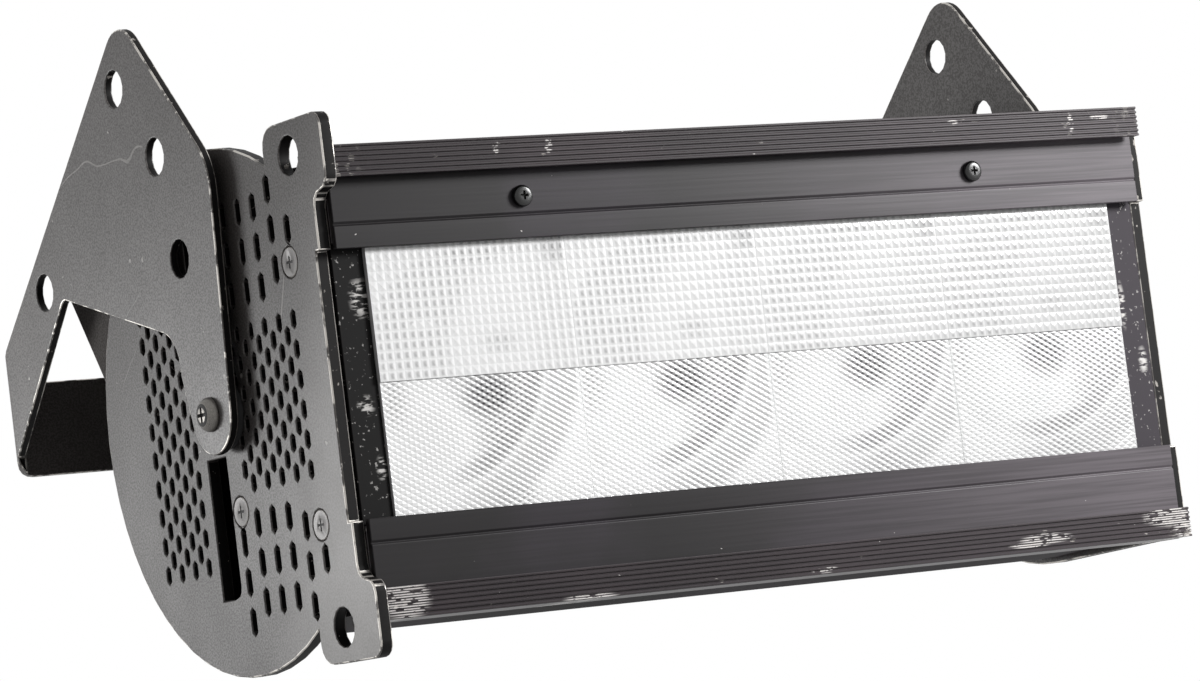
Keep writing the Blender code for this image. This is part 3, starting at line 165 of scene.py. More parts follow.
class LightSizes(PropertyGroup):
    """Sizes that a user would change, in metres unless a unit says otherwise."""

    plate_edge: FloatProperty(
        name="Plate edge", description="Width of the broken edge of the coated plates",
        default=0.5 * MM, min=0, unit="LENGTH", precision=5,
    )
    small_edge: FloatProperty(
        name="Small edge", description="Width of the broken edge of extrusions and mouldings",
        default=0.2 * MM, min=0, unit="LENGTH", precision=5,
    )
    prism_columns: IntProperty(
        name="Prism columns", description="Square prisms across one lens cell", default=24, min=4,
    )
    prism_rows: IntProperty(
        name="Prism rows", description="Square prisms up the lens cell's upper half", default=14, min=2,
    )
    prism_depth: FloatProperty(
        name="Prism depth", description="Height of a square prism's point",
        default=0.13 * MM, min=0, unit="LENGTH", precision=5,
    )
    diamond_pitch: FloatProperty(
        name="Diamond pitch", description="Side of a diamond prism in the lower half",
        default=2.1 * MM, min=0, unit="LENGTH", precision=5,
    )
    diamond_depth: FloatProperty(
        name="Diamond depth", description="Height of a diamond prism's point",
        default=0.13 * MM, min=0, unit="LENGTH", precision=5,
    )
    head_sides: IntProperty(
        name="Head sides", description="Sides of a round screw head", default=40, min=12,
    )
    recess_width: FloatProperty(
        name="Recess width", description="Width of a cross recess's wing",
        default=1.1 * MM, min=0, unit="LENGTH", precision=5,
    )


class LightColours(PropertyGroup):
    """Colours as they are written on the object, in sRGB hex."""

    coat: StringProperty(name="Powder coat", description="Grey coat of plates and yoke", default="6a6664")
    coat_dark: StringProperty(
        name="Coat mottle", description="Darker patches in the coat", default="5c5856",
    )
    bare: StringProperty(
        name="Bare metal", description="Metal where the coat has chipped", default="c2beb8",
    )
    # painted shade: the coat over cut edges is coloured nearly black, as they are seen in shade
    edge: StringProperty(name="Cut edge", description="Coat over a plate's cut edge", default="141212")
    anodised: StringProperty(name="Anodised", description="Black anodised extrusion", default="171416")
    anodised_warm: StringProperty(
        name="Anodised sheen", description="Where the anodising looks purplish", default="2a252b",
    )
    # painted light: the clear lens is coloured near white for the light its bowl sends back, and its facets get
    # painted shade
    lens_painted_light: StringProperty(name="Acrylic", description="Lit prism lens", default="fbfbfb")
    painted_prism_shade: StringProperty(
        name="Prism shade", description="Dark facets of the prisms", default="2e2c30",
    )
    key_power: FloatProperty(
        name="Key light", description="Power of the key lamp", default=2.7, unit="POWER",
    )
    fill_power: FloatProperty(
        name="Fill light", description="Power of the front lamp", default=18.5, unit="POWER",
    )


def linear(text):
    """An sRGB hex value as linear red, green, blue and alpha."""
    parts = [int(text[i:i + 2], 16) / 255 for i in (0, 2, 4)]
    return (*[c / 12.92 if c <= 0.04045 else ((c + 0.055) / 1.055) ** 2.4 for c in parts], 1.0)


def per(size):
    """A texture's scale for features of a real size in metres."""
    return 1 / size


def add(tree, kind, inputs=None, **settings):
    """A node with its settings; an input takes a value, a socket or a node, for its first output."""
    node = tree.nodes.new("ShaderNode" + kind)
    for name, value in settings.items():
        setattr(node, name, value)
    for key, value in (inputs or {}).items():
        value = value.outputs[0] if isinstance(value, bpy.types.Node) else value
        if isinstance(value, bpy.types.NodeSocket):
            tree.links.new(value, node.inputs[key])
        else:
            node.inputs[key].default_value = value
    return node


def blank(name):
    """A new material with an empty node tree, and that tree."""
    material = bpy.data.materials.new(name)
    material.use_nodes = True
    material.node_tree.nodes.clear()
    return material, material.node_tree


def finished(material, tree, inputs):
    """The material, with a Principled shader joined to its output."""
    shader = add(tree, "BsdfPrincipled", inputs)
    add(tree, "OutputMaterial", {"Surface": shader})
    return material


def place_of(tree, origin=(0, 0, 0)):
    """Object coordinates, whole, and as x, y and z from an origin."""
    here = add(tree, "TexCoord").outputs["Object"]
    away = add(tree, "VectorMath", {0: here, 1: origin}, operation="SUBTRACT")
    return here, *add(tree, "SeparateXYZ", {0: away}).outputs


def speckle(tree, here, size, low, high, detail=3.0, stretch=(1, 1, 1)):
    """A noise of a real grain size, as a mask from 0 at low to 1 at high."""
    spread = add(tree, "Mapping", {"Vector": here, "Scale": stretch})
    noise = add(tree, "TexNoise", {"Vector": spread, "Scale": per(size), "Detail": detail})
    return add(
        tree, "MapRange", {"Value": noise, "From Min": low, "From Max": high},
        interpolation_type="SMOOTHSTEP",
    )


def band(tree, value, centre, half, soft):
    """1 where a value lies within half of centre, fading to 0 over soft."""
    offset = add(tree, "Math", {0: value, 1: centre}, operation="SUBTRACT")
    away = add(tree, "Math", {0: offset}, operation="ABSOLUTE")
    return add(
        tree, "MapRange", {"Value": away, "From Min": half + soft, "From Max": half},
        interpolation_type="SMOOTHSTEP",
    )


def product(tree, *values):
    """Several masks multiplied together."""
    result = values[0]
    for value in values[1:]:
        result = add(tree, "Math", {0: result, 1: value}, operation="MULTIPLY")
    return result


def most(tree, *values):
    """The largest of several masks."""
    result = values[0]
    for value in values[1:]:
        result = add(tree, "Math", {0: result, 1: value}, operation="MAXIMUM")
    return result


def layered(tree, base, *layers):
    """A colour with others laid over it, each through its own mask. A colour may be hex."""
    base = linear(base) if isinstance(base, str) else base
    for mask, over in layers:
        over = linear(over) if isinstance(over, str) else over
        base = add(tree, "Mix", {"Factor": mask, 6: base, 7: over}, data_type="RGBA").outputs[2]
    return base


def scratch(tree, across, up, here, start, end, half, sway):
    """A thin wandering line on a side plate between two places (across, up) from the tilt axis, in mm."""
    (y0, z0), (y1, z1) = start, end
    slope = (z1 - z0) / (y1 - y0)
    wander = add(tree, "TexNoise", {"Vector": here, "Scale": per(24 * MM), "Detail": 0.6})
    swing = add(
        tree, "MapRange",
        {"Value": wander, "From Min": 0.3, "From Max": 0.7, "To Min": -sway * MM, "To Max": sway * MM},
    )
    line = add(tree, "Math", {0: across, 1: slope, 2: (z0 - slope * y0) * MM}, operation="MULTIPLY_ADD")
    off = add(tree, "Math", {0: up, 1: line}, operation="SUBTRACT")
    total = add(tree, "Math", {0: off, 1: swing}, operation="SUBTRACT")
    along = band(tree, across, (y0 + y1) / 2 * MM, abs(y1 - y0) / 2 * MM, 2 * MM)
    return product(tree, band(tree, total, 0, half * MM, half * MM), along)


def powder_coat(colours, name, shade, shine, front=0.0, rough=0.4):
    """Satin powder coat on aluminium plate: a fine orange peel, faint mottle, few hard scratches.

    Shade is painted shade that darkens it, more on the end plates' copy of the coat than on the yoke's, and front
    says how much paler it is towards the window and low: painted light where the lamps fall, with more specular
    there, where it is worn to a polish. The grain is drawn at 0.7 mm, coarser than the real one, so that it shows."""
    material, tree = blank(name)
    here, x, across, up = place_of(tree, (0, AXIS_Y, AXIS_Z))
    at = (tree, across, up)
    outward = add(tree, "Math", {0: x, 1: 0.0}, operation="LESS_THAN")
    mottle = speckle(tree, here, 30 * MM, 0.3, 0.7, 4)
    grain = speckle(tree, here, 0.7 * MM, 0.38, 0.62, 2)
    chips = speckle(tree, here, 4.5 * MM, 0.765, 0.79, 1.5)
    peel = speckle(tree, here, 1.3 * MM, 0.2, 0.8, 1)
    # painted light: the coat is paler towards the window; the same mask also raises its specular level
    front_light_and_polish = product(tree, ramp(tree, slanted(*at, 200), 30, 85), front)
    nut_print = band(tree, away_from(*at, (62, 68.2)), 5.2 * MM, 0.1 * MM, 0.3 * MM)
    lines = [product(tree, scratch(*at, here, *line), strength) for *line, strength in SCRATCHES]
    spots = [product(tree, patch(*at, *spot), strength) for *spot, strength in SPOTS]
    scratched = most(tree, *lines, *spots)
    # shade lays painted shade over the whole coat
    colour = layered(
        tree, colours.coat, (mottle, colours.coat_dark), (product(tree, grain, 0.55), "423e3c"),
        (shade, "3a3635"), (front_light_and_polish, "b0aca8"), (product(tree, scratched, outward), "cfcbc7"),
        (product(tree, nut_print, outward, 0.45), "4a4644"), (chips, "d8d4ce"),
    )
    dulled = add(tree, "MapRange", {"Value": mottle, "To Min": rough, "To Max": rough + 0.03})
    dusty = add(tree, "MapRange", {"Value": grain, "To Min": shine, "To Max": shine * 0.5})
    gloss = add(tree, "Math", {0: front_light_and_polish, 1: 0.25, 2: dusty}, operation="MULTIPLY_ADD")
    relief = add(tree, "Bump", {"Height": peel, "Distance": 0.02 * MM, "Strength": 0.6})
    return finished(material, tree, {
        "Base Color": colour, "Roughness": dulled, "IOR": 1.5,
        "Specular IOR Level": gloss, "Normal": relief,
    })


def chipped_edge(colours):
    """The same coat over a cut edge, rubbed through to bright metal in long runs."""
    material, tree = blank("chipped_coat_edge")
    here = place_of(tree)[0]
    kept = product(
        tree, speckle(tree, here, 9 * MM, 0.44, 0.54, 5), speckle(tree, here, 1.6 * MM, 0.36, 0.46, 2),
    )
    metal = add(tree, "Math", {0: 0.75, 1: kept}, operation="SUBTRACT", use_clamp=True)
    return finished(material, tree, {
        "Base Color": layered(tree, colours.bare, (kept, "7d7976")), "Metallic": metal,
        "Roughness": 0.42, "Specular IOR Level": 0.4,
    })


def cut_edge(colours):
    """Painted shade on a sheared plate edge: the coat there is coloured nearly black, as it is seen in shade, with
    small rubs.
    """
    material, tree = blank("thin_coat_on_cut_edge")
    here = place_of(tree)[0]
    rubs = speckle(tree, here, 3.4 * MM, 0.66, 0.7, 4)
    grain = speckle(tree, here, 0.7 * MM, 0.3, 0.7, 2)
    return finished(material, tree, {
        "Base Color": layered(tree, colours.edge, (grain, "0e0d0d"), (rubs, "a39e99")),
        "Roughness": 0.55, "Specular IOR Level": 0.12,
    })


def anodised(name, dark, warm, far_end_painted_sheen="2c272b", knocks=(), rough=0.38):
    """Black anodised aluminium: fine drawn lines along the profile, and a painted sheen that makes it paler
    towards the far end.

    Knocks are worn places, with bare metal in short strokes. The lines are drawn 1.1 mm wide, coarser
    than the real ones, so that they show."""
    material, tree = blank(name)
    here, x, _, z = place_of(tree)
    drawn = speckle(tree, here, 1.1 * MM, 0.3, 0.7, 3, (0.02, 1, 1))
    cloud = speckle(tree, here, 60 * MM, 0.4, 0.62, 3)
    marks = speckle(tree, here, 2.2 * MM, 0.745, 0.77, 3, (0.6, 1, 1))
    strokes = speckle(tree, here, 1.6 * MM, 0.43, 0.48, 4, (0.4, 1, 1))
    for along, height, half_length, half_height in knocks:
        squash = half_length / half_height
        place = patch(tree, x, z, (along, height), half_length * 0.6, half_length, squash)
        marks = most(tree, marks, product(tree, place, strokes))
    # painted sheen: paler towards the far end, where the front lamp's light falls
    colour = layered(
        tree, dark, (cloud, warm), (ramp(tree, x, -60, 165), far_end_painted_sheen),
        (product(tree, drawn, 0.4), "161415"), (marks, "e2dedb"),
    )
    relief = add(tree, "Bump", {"Height": drawn, "Distance": 0.012 * MM, "Strength": 0.5})
    return finished(material, tree, {
        "Base Color": colour, "Roughness": rough, "Specular IOR Level": 0.2, "Normal": relief,
    })


def worn_extrusion_edge(colours, end):
    """An anodised corner: mostly black, with bright nicks, more of them near its end in mm."""
    material, tree = blank("worn_extrusion_edge")
    here, x = place_of(tree)[:2]
    far = add(tree, "Math", {0: x}, operation="ABSOLUTE")
    nicks = most(
        tree, speckle(tree, here, 4 * MM, 0.68, 0.71, 4, (0.5, 1, 1)),
        product(tree, ramp(tree, far, end - 14, end), speckle(tree, here, 3 * MM, 0.56, 0.6, 4)),
    )
    return finished(material, tree, {
        "Base Color": layered(tree, "4a4548", (nicks, colours.bare)), "Roughness": 0.4,
        "Specular IOR Level": 0.35,
    })


def scuffed_trim():
    """Black moulded trim, with a painted sheen that makes it paler at the far end, rubbed pale in rough strokes
    across it.
    """
    material, tree = blank("scuffed_black_trim")
    here, x, _, z = place_of(tree)
    strokes = speckle(tree, here, 2.6 * MM, 0.47, 0.56, 6, (0.6, 1, 2.2))
    places = [
        patch(tree, x, z, (along, height), reach * 0.3, reach, squash)
        for along, height, reach, squash in RUBS
    ]
    dust = product(tree, speckle(tree, here, 1.4 * MM, 0.64, 0.7, 5), 0.5)
    worn = most(tree, product(tree, strokes, most(tree, *places), 0.85), dust)
    # the ramp along x is a painted sheen: paler towards the far end, where the front lamp falls
    colour = layered(tree, "0b0a0a", (ramp(tree, x, 0, 100), "403c41"), (worn, "e6e3e0"))
    return finished(material, tree, {"Base Color": colour, "Roughness": 0.55, "Specular IOR Level": 0.1})


def away_from(tree, across, up, centre, squash=1.0):
    """Distance in metres from a place given in mm, with height squashed."""
    dx = add(tree, "Math", {0: across, 1: centre[0] * MM}, operation="SUBTRACT")
    dz = add(tree, "Math", {0: up, 1: centre[1] * MM}, operation="SUBTRACT")
    tall = add(tree, "Math", {0: dz, 1: squash}, operation="MULTIPLY")
    flat = add(tree, "CombineXYZ", {0: dx, 1: tall})
    reach = add(tree, "VectorMath", {0: flat}, operation="LENGTH")
    return reach.outputs["Value"]


def ramp(tree, value, low, high):
    """A soft step: 0 below low, 1 above high, both in millimetres."""
    return add(
        tree, "MapRange", {"Value": value, "From Min": low * MM, "From Max": high * MM},
        interpolation_type="SMOOTHSTEP",
    )


def patch(tree, across, up, centre, inner, outer, squash=1.0):
    """1 inside inner millimetres of a place, fading to 0 at outer."""
    return ramp(tree, away_from(tree, across, up, centre, squash), outer, inner)


def slanted(tree, across, up, angle, offset=(0, 0)):
    """How far a place lies along a direction given in degrees."""
    turn = math.radians(angle)
    shift = -(offset[0] * math.cos(turn) + offset[1] * math.sin(turn)) * MM
    first = add(tree, "Math", {0: across, 1: math.cos(turn), 2: shift}, operation="MULTIPLY_ADD")
    return add(tree, "Math", {0: up, 1: math.sin(turn), 2: first}, operation="MULTIPLY_ADD")


def stripes(tree, value, pitch, centre, half, soft):
    """Repeats along a value: 1 within half of centre in each pitch, as shares of the pitch."""
    scaled = add(tree, "Math", {0: value, 1: 1 / pitch}, operation="MULTIPLY")
    share = add(tree, "Math", {0: scaled}, operation="FRACT")
    return band(tree, share, centre, half, soft)


def lens_frame(tree, x, z, pitch, left_edge, middle):
    """Place inside a lens cell: from its left edge, and across and up from its centre."""
    shifted = add(tree, "Math", {0: x, 1: left_edge}, operation="SUBTRACT")
    cell = add(tree, "Math", {0: shifted, 1: pitch}, operation="FLOORED_MODULO")
    across = add(tree, "Math", {0: cell, 1: pitch / 2}, operation="SUBTRACT")
    up = add(tree, "Math", {0: z, 1: middle}, operation="SUBTRACT")
    return cell, across, up


def square_painted_shade(tree, sizes, pitch, cell, across, up):
    """The coarse half, painted shade: each prism shows a short dark stroke where it sees past the bowl's rim.

    Places in both halves are in mm from the cell's centre."""
    at = (tree, across, up)
    low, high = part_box(LENSES[0])
    columns = stripes(tree, cell, pitch / sizes.prism_columns, 0.5, 0.06, 0.28)
    rows = stripes(tree, up, (high.z - low.z) / 2 / sizes.prism_rows, 0.5, 0.14, 0.34)
    strokes = product(tree, columns, rows)
    round_rim = ramp(tree, away_from(*at, (0, 0)), 45.5, 41)
    past_bowl = ramp(tree, away_from(*at, (18.6, 5.2)), 25, 34)
    left = ramp(tree, slanted(*at, 180, (30, 0)), 0, 40)
    glint_along = ramp(tree, away_from(*at, (-19.5, 17), 3.5), 4, 6.5)
    region = product(tree, round_rim, past_bowl, left, glint_along, 0.42)
    top_row = band(tree, up, 39 * MM, 1.4 * MM, 1.2 * MM)
    top = product(tree, top_row, patch(*at, (1, 39), 6, 16), 0.6)
    far_top = product(tree, ramp(tree, up, 36.5, 41), ramp(tree, across, -12, 0), 0.45)
    corner = product(tree, patch(*at, (34, 41.5), 2, 11), 0.65)
    shaded_patch = product(tree, patch(*at, (8.6, 10.2), 1, 11, 1.7), 0.42)
    faint = product(tree, most(tree, ramp(tree, across, 8, 30), ramp(tree, up, 26, 40), 0.4), 0.24)
    strokes = product(tree, most(tree, region, top, far_top, corner, shaded_patch, faint), strokes)
    veil = product(tree, patch(*at, (9, 11), 0, 13, 1.9), 0.1)
    lines = product(tree, columns, most(tree, product(tree, faint, 0.8), 0.09))
    corner_shade = product(tree, corner, 0.45)
    return most(tree, strokes, veil, lines, corner_shade)


def fine_painted_shade(tree, sizes, x, across, up):
    """The fine half, painted shade and light: rows of dark dots in a crescent about the bowl's bright middle, as
    the prisms show the bowl behind them.
    """
    at = (tree, across, up)
    spacing = sizes.diamond_pitch * math.cos(math.radians(DIAMOND_LEAN))
    falling = stripes(tree, slanted(*at, 90 - DIAMOND_LEAN), spacing, 0.5, 0.14, 0.3)
    rising = stripes(tree, slanted(*at, 90 + DIAMOND_LEAN), spacing, 0.5, 0.14, 0.3)
    dots = product(tree, falling, rising)
    slide = add(tree, "Math", {0: x, 1: -0.075, 2: -8.5 * MM}, operation="MULTIPLY_ADD")
    moved = add(tree, "Math", {0: across, 1: slide}, operation="ADD")
    bowl = away_from(tree, moved, up, (-19.4, -20.3))
    arc = away_from(tree, moved, up, (-20.9, 7.1))
    inside = ramp(tree, arc, 44, 42)
    crescent = product(tree, inside, ramp(tree, bowl, 8, 25))
    towards = ramp(tree, slanted(*at, 5, (-19.4, -20.3)), -4, 20)
    below = ramp(tree, slanted(*at, -80, (-19.4, -20.3)), 6, 22)
    crescent = product(tree, crescent, most(tree, towards, product(tree, below, 0.7), 0.28), 0.72)
    rim = product(tree, band(tree, arc, 40.5 * MM, 1.2 * MM, 4 * MM), towards, 0.72)
    dark = patch(*at, (3, -6.5), 4, 17, 1.3)
    outer = product(tree, band(tree, arc, 50.5 * MM, 3.5 * MM, 5 * MM), towards, 0.5)
    foot = product(tree, patch(*at, (7, -40), 4, 14, 1.6), 0.55)
    fringe = product(tree, ramp(tree, across, -22, -34), ramp(tree, up, -24, -6), 0.5)
    spots = product(tree, most(tree, crescent, rim, dark, foot, fringe, 0.07), dots)
    falls = product(tree, most(tree, product(tree, crescent, 0.75), outer, rim, dark), falling, 0.8)
    rises = product(tree, crescent, rising, ramp(tree, across, -4, -14), 0.8)
    veil = product(tree, patch(*at, (4.5, -6), 1, 15, 1.3), 0.46)
    pale = product(tree, ramp(tree, bowl, 15, 6), 0.075)
    return most(tree, spots, falls, rises, veil, pale)


def painted_prism_lens(sizes, colours, pitch, left_edge, middle):
    """A clear PMMA prism sheet over a bright bowl, painted as light: white for the light the bowl sends back, with
    painted shade on the facets where the prisms see past its rim.
    """
    material, tree = blank("painted_prism_lens")
    x, _, z = place_of(tree)[1:]
    cell, across, up = lens_frame(tree, x, z, pitch, left_edge, middle)
    coarse = product(tree, square_painted_shade(tree, sizes, pitch, cell, across, up), ramp(tree, up, -0.2, 0.2))
    fine = product(tree, fine_painted_shade(tree, sizes, x, across, up), ramp(tree, up, 0.2, -0.2))
    both = add(tree, "Math", {0: coarse, 1: fine}, operation="ADD", use_clamp=True)
    # the painted shade on the facets grows weaker towards the far end
    fade = add(
        tree, "MapRange",
        {"Value": x, "From Min": -110 * MM, "From Max": 130 * MM, "To Min": 1.0, "To Max": 0.88},
    )
    seam = add(tree, "Math", {0: across}, operation="ABSOLUTE")
    clear = ramp(tree, seam, pitch / 2 / MM - 0.5, pitch / 2 / MM - 1.8)
    shade = product(tree, both, fade, clear)
    # painted shade: the lens is darker towards the far end, where the front lamp lights it more
    colour = layered(
        tree, colours.lens_painted_light, (ramp(tree, x, -170, 190), "c6c6c6"), (shade, colours.painted_prism_shade),
    )
    return finished(material, tree, {
        "Base Color": colour, "Roughness": 0.22, "IOR": 1.49, "Coat Weight": 0.3, "Coat Roughness": 0.08,
    })


def plain(name, colour, roughness, metallic=0.0, grain=0.5, depth=0.01, other=None):
    """A material of one finish, with a grain in colour, roughness and relief, in mm.

    The grain is drawn no finer than 0.3 mm, coarser than most real ones, so that it shows."""
    material, tree = blank(name)
    here = place_of(tree)[0]
    mask = speckle(tree, here, grain * MM, 0.3, 0.7, 3)
    cloud = speckle(tree, here, 14 * MM, 0.35, 0.7, 3)
    darker = other or "".join(f"{int(int(colour[i:i + 2], 16) * 0.8):02x}" for i in (0, 2, 4))
    dulled = add(tree, "MapRange", {"Value": cloud, "To Min": roughness, "To Max": roughness + 0.1})
    relief = add(tree, "Bump", {"Height": mask, "Distance": depth * MM, "Strength": 0.5})
    return finished(material, tree, {
        "Base Color": layered(tree, colour, (product(tree, mask, cloud), darker)), "Metallic": metallic,
        "Roughness": dulled, "Normal": relief,
    })


# Each finish's material, filled in by its step.
FINISHES = {}


def only(*objects):
    """Leave these objects selected, the last one active, and nothing else."""
    bpy.ops.object.select_all(action="DESELECT")
    for obj in objects:
        obj.select_set(True)
    bpy.context.view_layer.objects.active = objects[-1]


def whole(obj, operator, **settings):
    """Run an operator on all of an object's mesh."""
    only(obj)
    bpy.ops.object.mode_set(mode="EDIT")
    bpy.ops.mesh.select_all(action="SELECT")
    operator(**settings)
    bpy.ops.object.mode_set(mode="OBJECT")


def placed(name, data):
    """A new object in the scene."""
    obj = bpy.data.objects.new(name, data)
    bpy.context.scene.collection.objects.link(obj)
    return obj


def paint(obj, *finishes):
    """Give an object these materials, in slot order."""
    obj.data.materials.clear()
    for name in finishes:
        obj.data.materials.append(FINISHES[name])


def rest(obj):
    """Put an object's place, turn and scale into its mesh."""
    only(obj)
    bpy.ops.object.transform_apply(location=True, rotation=True, scale=True)
    return obj


def hold(obj, body, slot, *nodes):
    """The piece rides on its body and stands for its nodes; slot is not used."""
    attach(obj, body)
    if nodes:
        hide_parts(*nodes)
    return obj


def slot_of(node):
    """The record's material slot of a frame node."""
    return next(s["material_slot"] for s in frame["record"]["subparts"] if s["node"] == node)


def body_of(node):
    """The body that a frame node belongs to."""
    return next(b for b, names in frame["record"]["behaviour"]["bodies"].items() if node in names)


def dressed(node, name, width, finishes, segments=2, smooth=32, third=None, clamp=True):
    """A merged copy of a frame node with broken edges, which stands for it.

    The second finish goes on the broken edges, and the third on the faces that a test picks out."""
    obj = placed(name, frame["nodes"][node].data.copy())
    only(obj)
    bpy.ops.object.mode_set(mode="EDIT")
    bpy.ops.mesh.select_all(action="SELECT")
    bpy.ops.mesh.remove_doubles(threshold=TOUCH)
    bpy.ops.mesh.dissolve_limited(angle_limit=math.radians(0.6))
    bpy.ops.object.mode_set(mode="OBJECT")
    paint(obj, *finishes)
    for face in obj.data.polygons:
        face.material_index = 2 if third and third(face) else 0
    if width:
        edges = obj.modifiers.new("broken_edges", "BEVEL")
        edges.width = width
        edges.segments = segments
        edges.limit_method = "ANGLE"
        edges.angle_limit = EDGE_ANGLE
        edges.use_clamp_overlap = clamp
        if len(finishes) > 1:
            edges.material = 1
        bpy.ops.object.modifier_apply(modifier=edges.name)
    bpy.ops.object.shade_smooth_by_angle(angle=math.radians(smooth))
    flats = obj.modifiers.new("flat_faces", "WEIGHTED_NORMAL")
    flats.mode = "FACE_AREA"
    flats.weight = 100
    flats.keep_sharp = True
    bpy.ops.object.modifier_apply(modifier=flats.name)
    return hold(obj, body_of(node), slot_of(node), node)


def coated_holes(obj, reach):
    """Give the broken edges of small holes the coat: only long runs of edge are rubbed through."""
    worn = [face for face in obj.data.polygons if face.material_index == 1]
    lead = {corner: corner for face in worn for corner in face.vertices}

    def first(corner):
        while lead[corner] != corner:
            lead[corner] = lead[lead[corner]]
            corner = lead[corner]
        return corner

    for face in worn:
        for corner in face.vertices[1:]:
            lead[first(corner)] = first(face.vertices[0])
    runs = {}
    for corner in lead:
        runs.setdefault(first(corner), []).append(obj.data.vertices[corner].co)
    spans = {}
    for start, places in runs.items():
        low, high = ([pick(axis) for axis in zip(*places)] for pick in (min, max))
        spans[start] = math.dist(low, high)
    for face in worn:
        if spans[first(face.vertices[0])] < reach:
            face.material_index = 0


def across_x(face):
    """Whether a face belongs to the cut edge of a plate that stands square to X."""
    return abs(face.normal.x) < 0.7


def arm_edge(face):
    """Whether a face belongs to the cut edge of one of the yoke's arms."""
    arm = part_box("yoke_bracket")[1].x - ARM_THICKNESS
    return abs(face.normal.x) < 0.3 and abs(face.center.x) > arm


class WASH_OT_finishes(Operator):
    """Make every finish of the light"""

    bl_idname = "wash.finishes"
    bl_label = "Finishes"

    def execute(self, context):
        sizes, colours = context.scene.wash_sizes, context.scene.wash_colours
        low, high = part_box(LENSES[0])
        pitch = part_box(LENSES[1])[0].x - low.x
        left_edge = low.x - (pitch - (high.x - low.x)) / 2
        black, sheen = colours.anodised, colours.anodised_warm
        FINISHES.update(
            # the plates' coat gets more painted shade than the yoke's, and painted light towards the window
            coat=powder_coat(colours, "satin_powder_coat", 0.08, 0.62),
            plate_coat=powder_coat(colours, "satin_coat_on_end_plate", 0.3, 0.42, front=0.45),
            cover_coat=powder_coat(colours, "dull_coat_on_cover", 0.0, 0.2, rough=0.7),
            coat_edge=chipped_edge(colours),
            cut_edge=cut_edge(colours),
            rail=anodised("rail_anodising", "2b2426", "3c3336", far_end_painted_sheen="4a4346", knocks=KNOCKS),
            rail_edge=worn_extrusion_edge(colours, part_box("top_rail")[1].x / MM),
            bezel=anodised("bezel_anodising", black, sheen, far_end_painted_sheen="655f64"),
            housing=anodised("housing_anodising", black, sheen, rough=0.75),
            trim=scuffed_trim(),
            prism=painted_prism_lens(sizes, colours, pitch, left_edge, (low.z + high.z) / 2),
        )
        for finish, numbers in PLAIN.items():
            FINISHES[finish] = plain(*numbers)
        return {"FINISHED"}


class WASH_OT_plates(Operator):
    """End plates and wiring box with broken, chipped edges"""

    bl_idname = "wash.plates"
    bl_label = "End plates"

    def execute(self, context):
        edge = context.scene.wash_sizes.plate_edge
        # the third finish is painted shade on the plates' cut edges
        coats = ("plate_coat", "coat_edge", "cut_edge")
        for side in ("left", "right"):
            node, name = f"{side}_end_plate", f"{side}_plate"
            coated_holes(dressed(node, name, edge, coats, third=across_x, clamp=False), PLATE_RUN)
        dressed("wiring_box", "wiring_cover", edge, ("cover_coat", "coat_edge"))
        return {"FINISHED"}


class WASH_OT_yoke(Operator):
    """The bent yoke with chipped edges"""

    bl_idname = "wash.yoke"
    bl_label = "Yoke"

    def execute(self, context):
        edge = context.scene.wash_sizes.plate_edge
        # the third finish is painted shade on the arms' cut edges
        coats = ("coat", "coat_edge", "cut_edge")
        yoke = dressed("yoke_bracket", "yoke_plate", edge, coats, third=arm_edge, clamp=False)
        coated_holes(yoke, YOKE_RUN)
        for side in ("left", "right"):
            dressed(f"{side}_friction_washer", f"{side}_washer", 0.3 * MM, ("nylon",))
            paint(frame["nodes"][f"{side}_pivot_nut"], "zinc")
        return {"FINISHED"}


class WASH_OT_rails(Operator):
    """Ribbed rails, bezels and window trims"""

    bl_idname = "wash.rails"
    bl_label = "Rails and bezels"

    def execute(self, context):
        edge = context.scene.wash_sizes.small_edge
        for node in ("top_rail", "bottom_rail"):
            dressed(node, node + "_extrusion", edge, ("rail", "rail_edge"), 1)
        for node in ("top_bezel", "bottom_bezel"):
            dressed(node, node + "_strip", edge, ("bezel",), 1)
        for side in ("left", "right"):
            dressed(f"side_trim_{side}", f"{side}_window_trim", edge, ("trim",))
        return {"FINISHED"}


class WASH_OT_housing(Operator):
    """Drum housing behind the lamps"""

    bl_idname = "wash.housing"
    bl_label = "Housing"

    def execute(self, context):
        edge = context.scene.wash_sizes.small_edge
        dressed("drum_housing", "drum_shell", edge, ("housing", "rail_edge"), 1, smooth=20)
        return {"FINISHED"}


def prism_sheet(width, height, columns, rows, depth):
    """A flat grid of four-sided points, facing up, centred on the origin."""
    bpy.ops.mesh.primitive_grid_add(x_subdivisions=columns, y_subdivisions=rows, size=1)
    sheet = bpy.context.object
    sheet.scale = (width, height, 1)
    rest(sheet)
    whole(sheet, bpy.ops.mesh.poke, offset=depth)
    return sheet


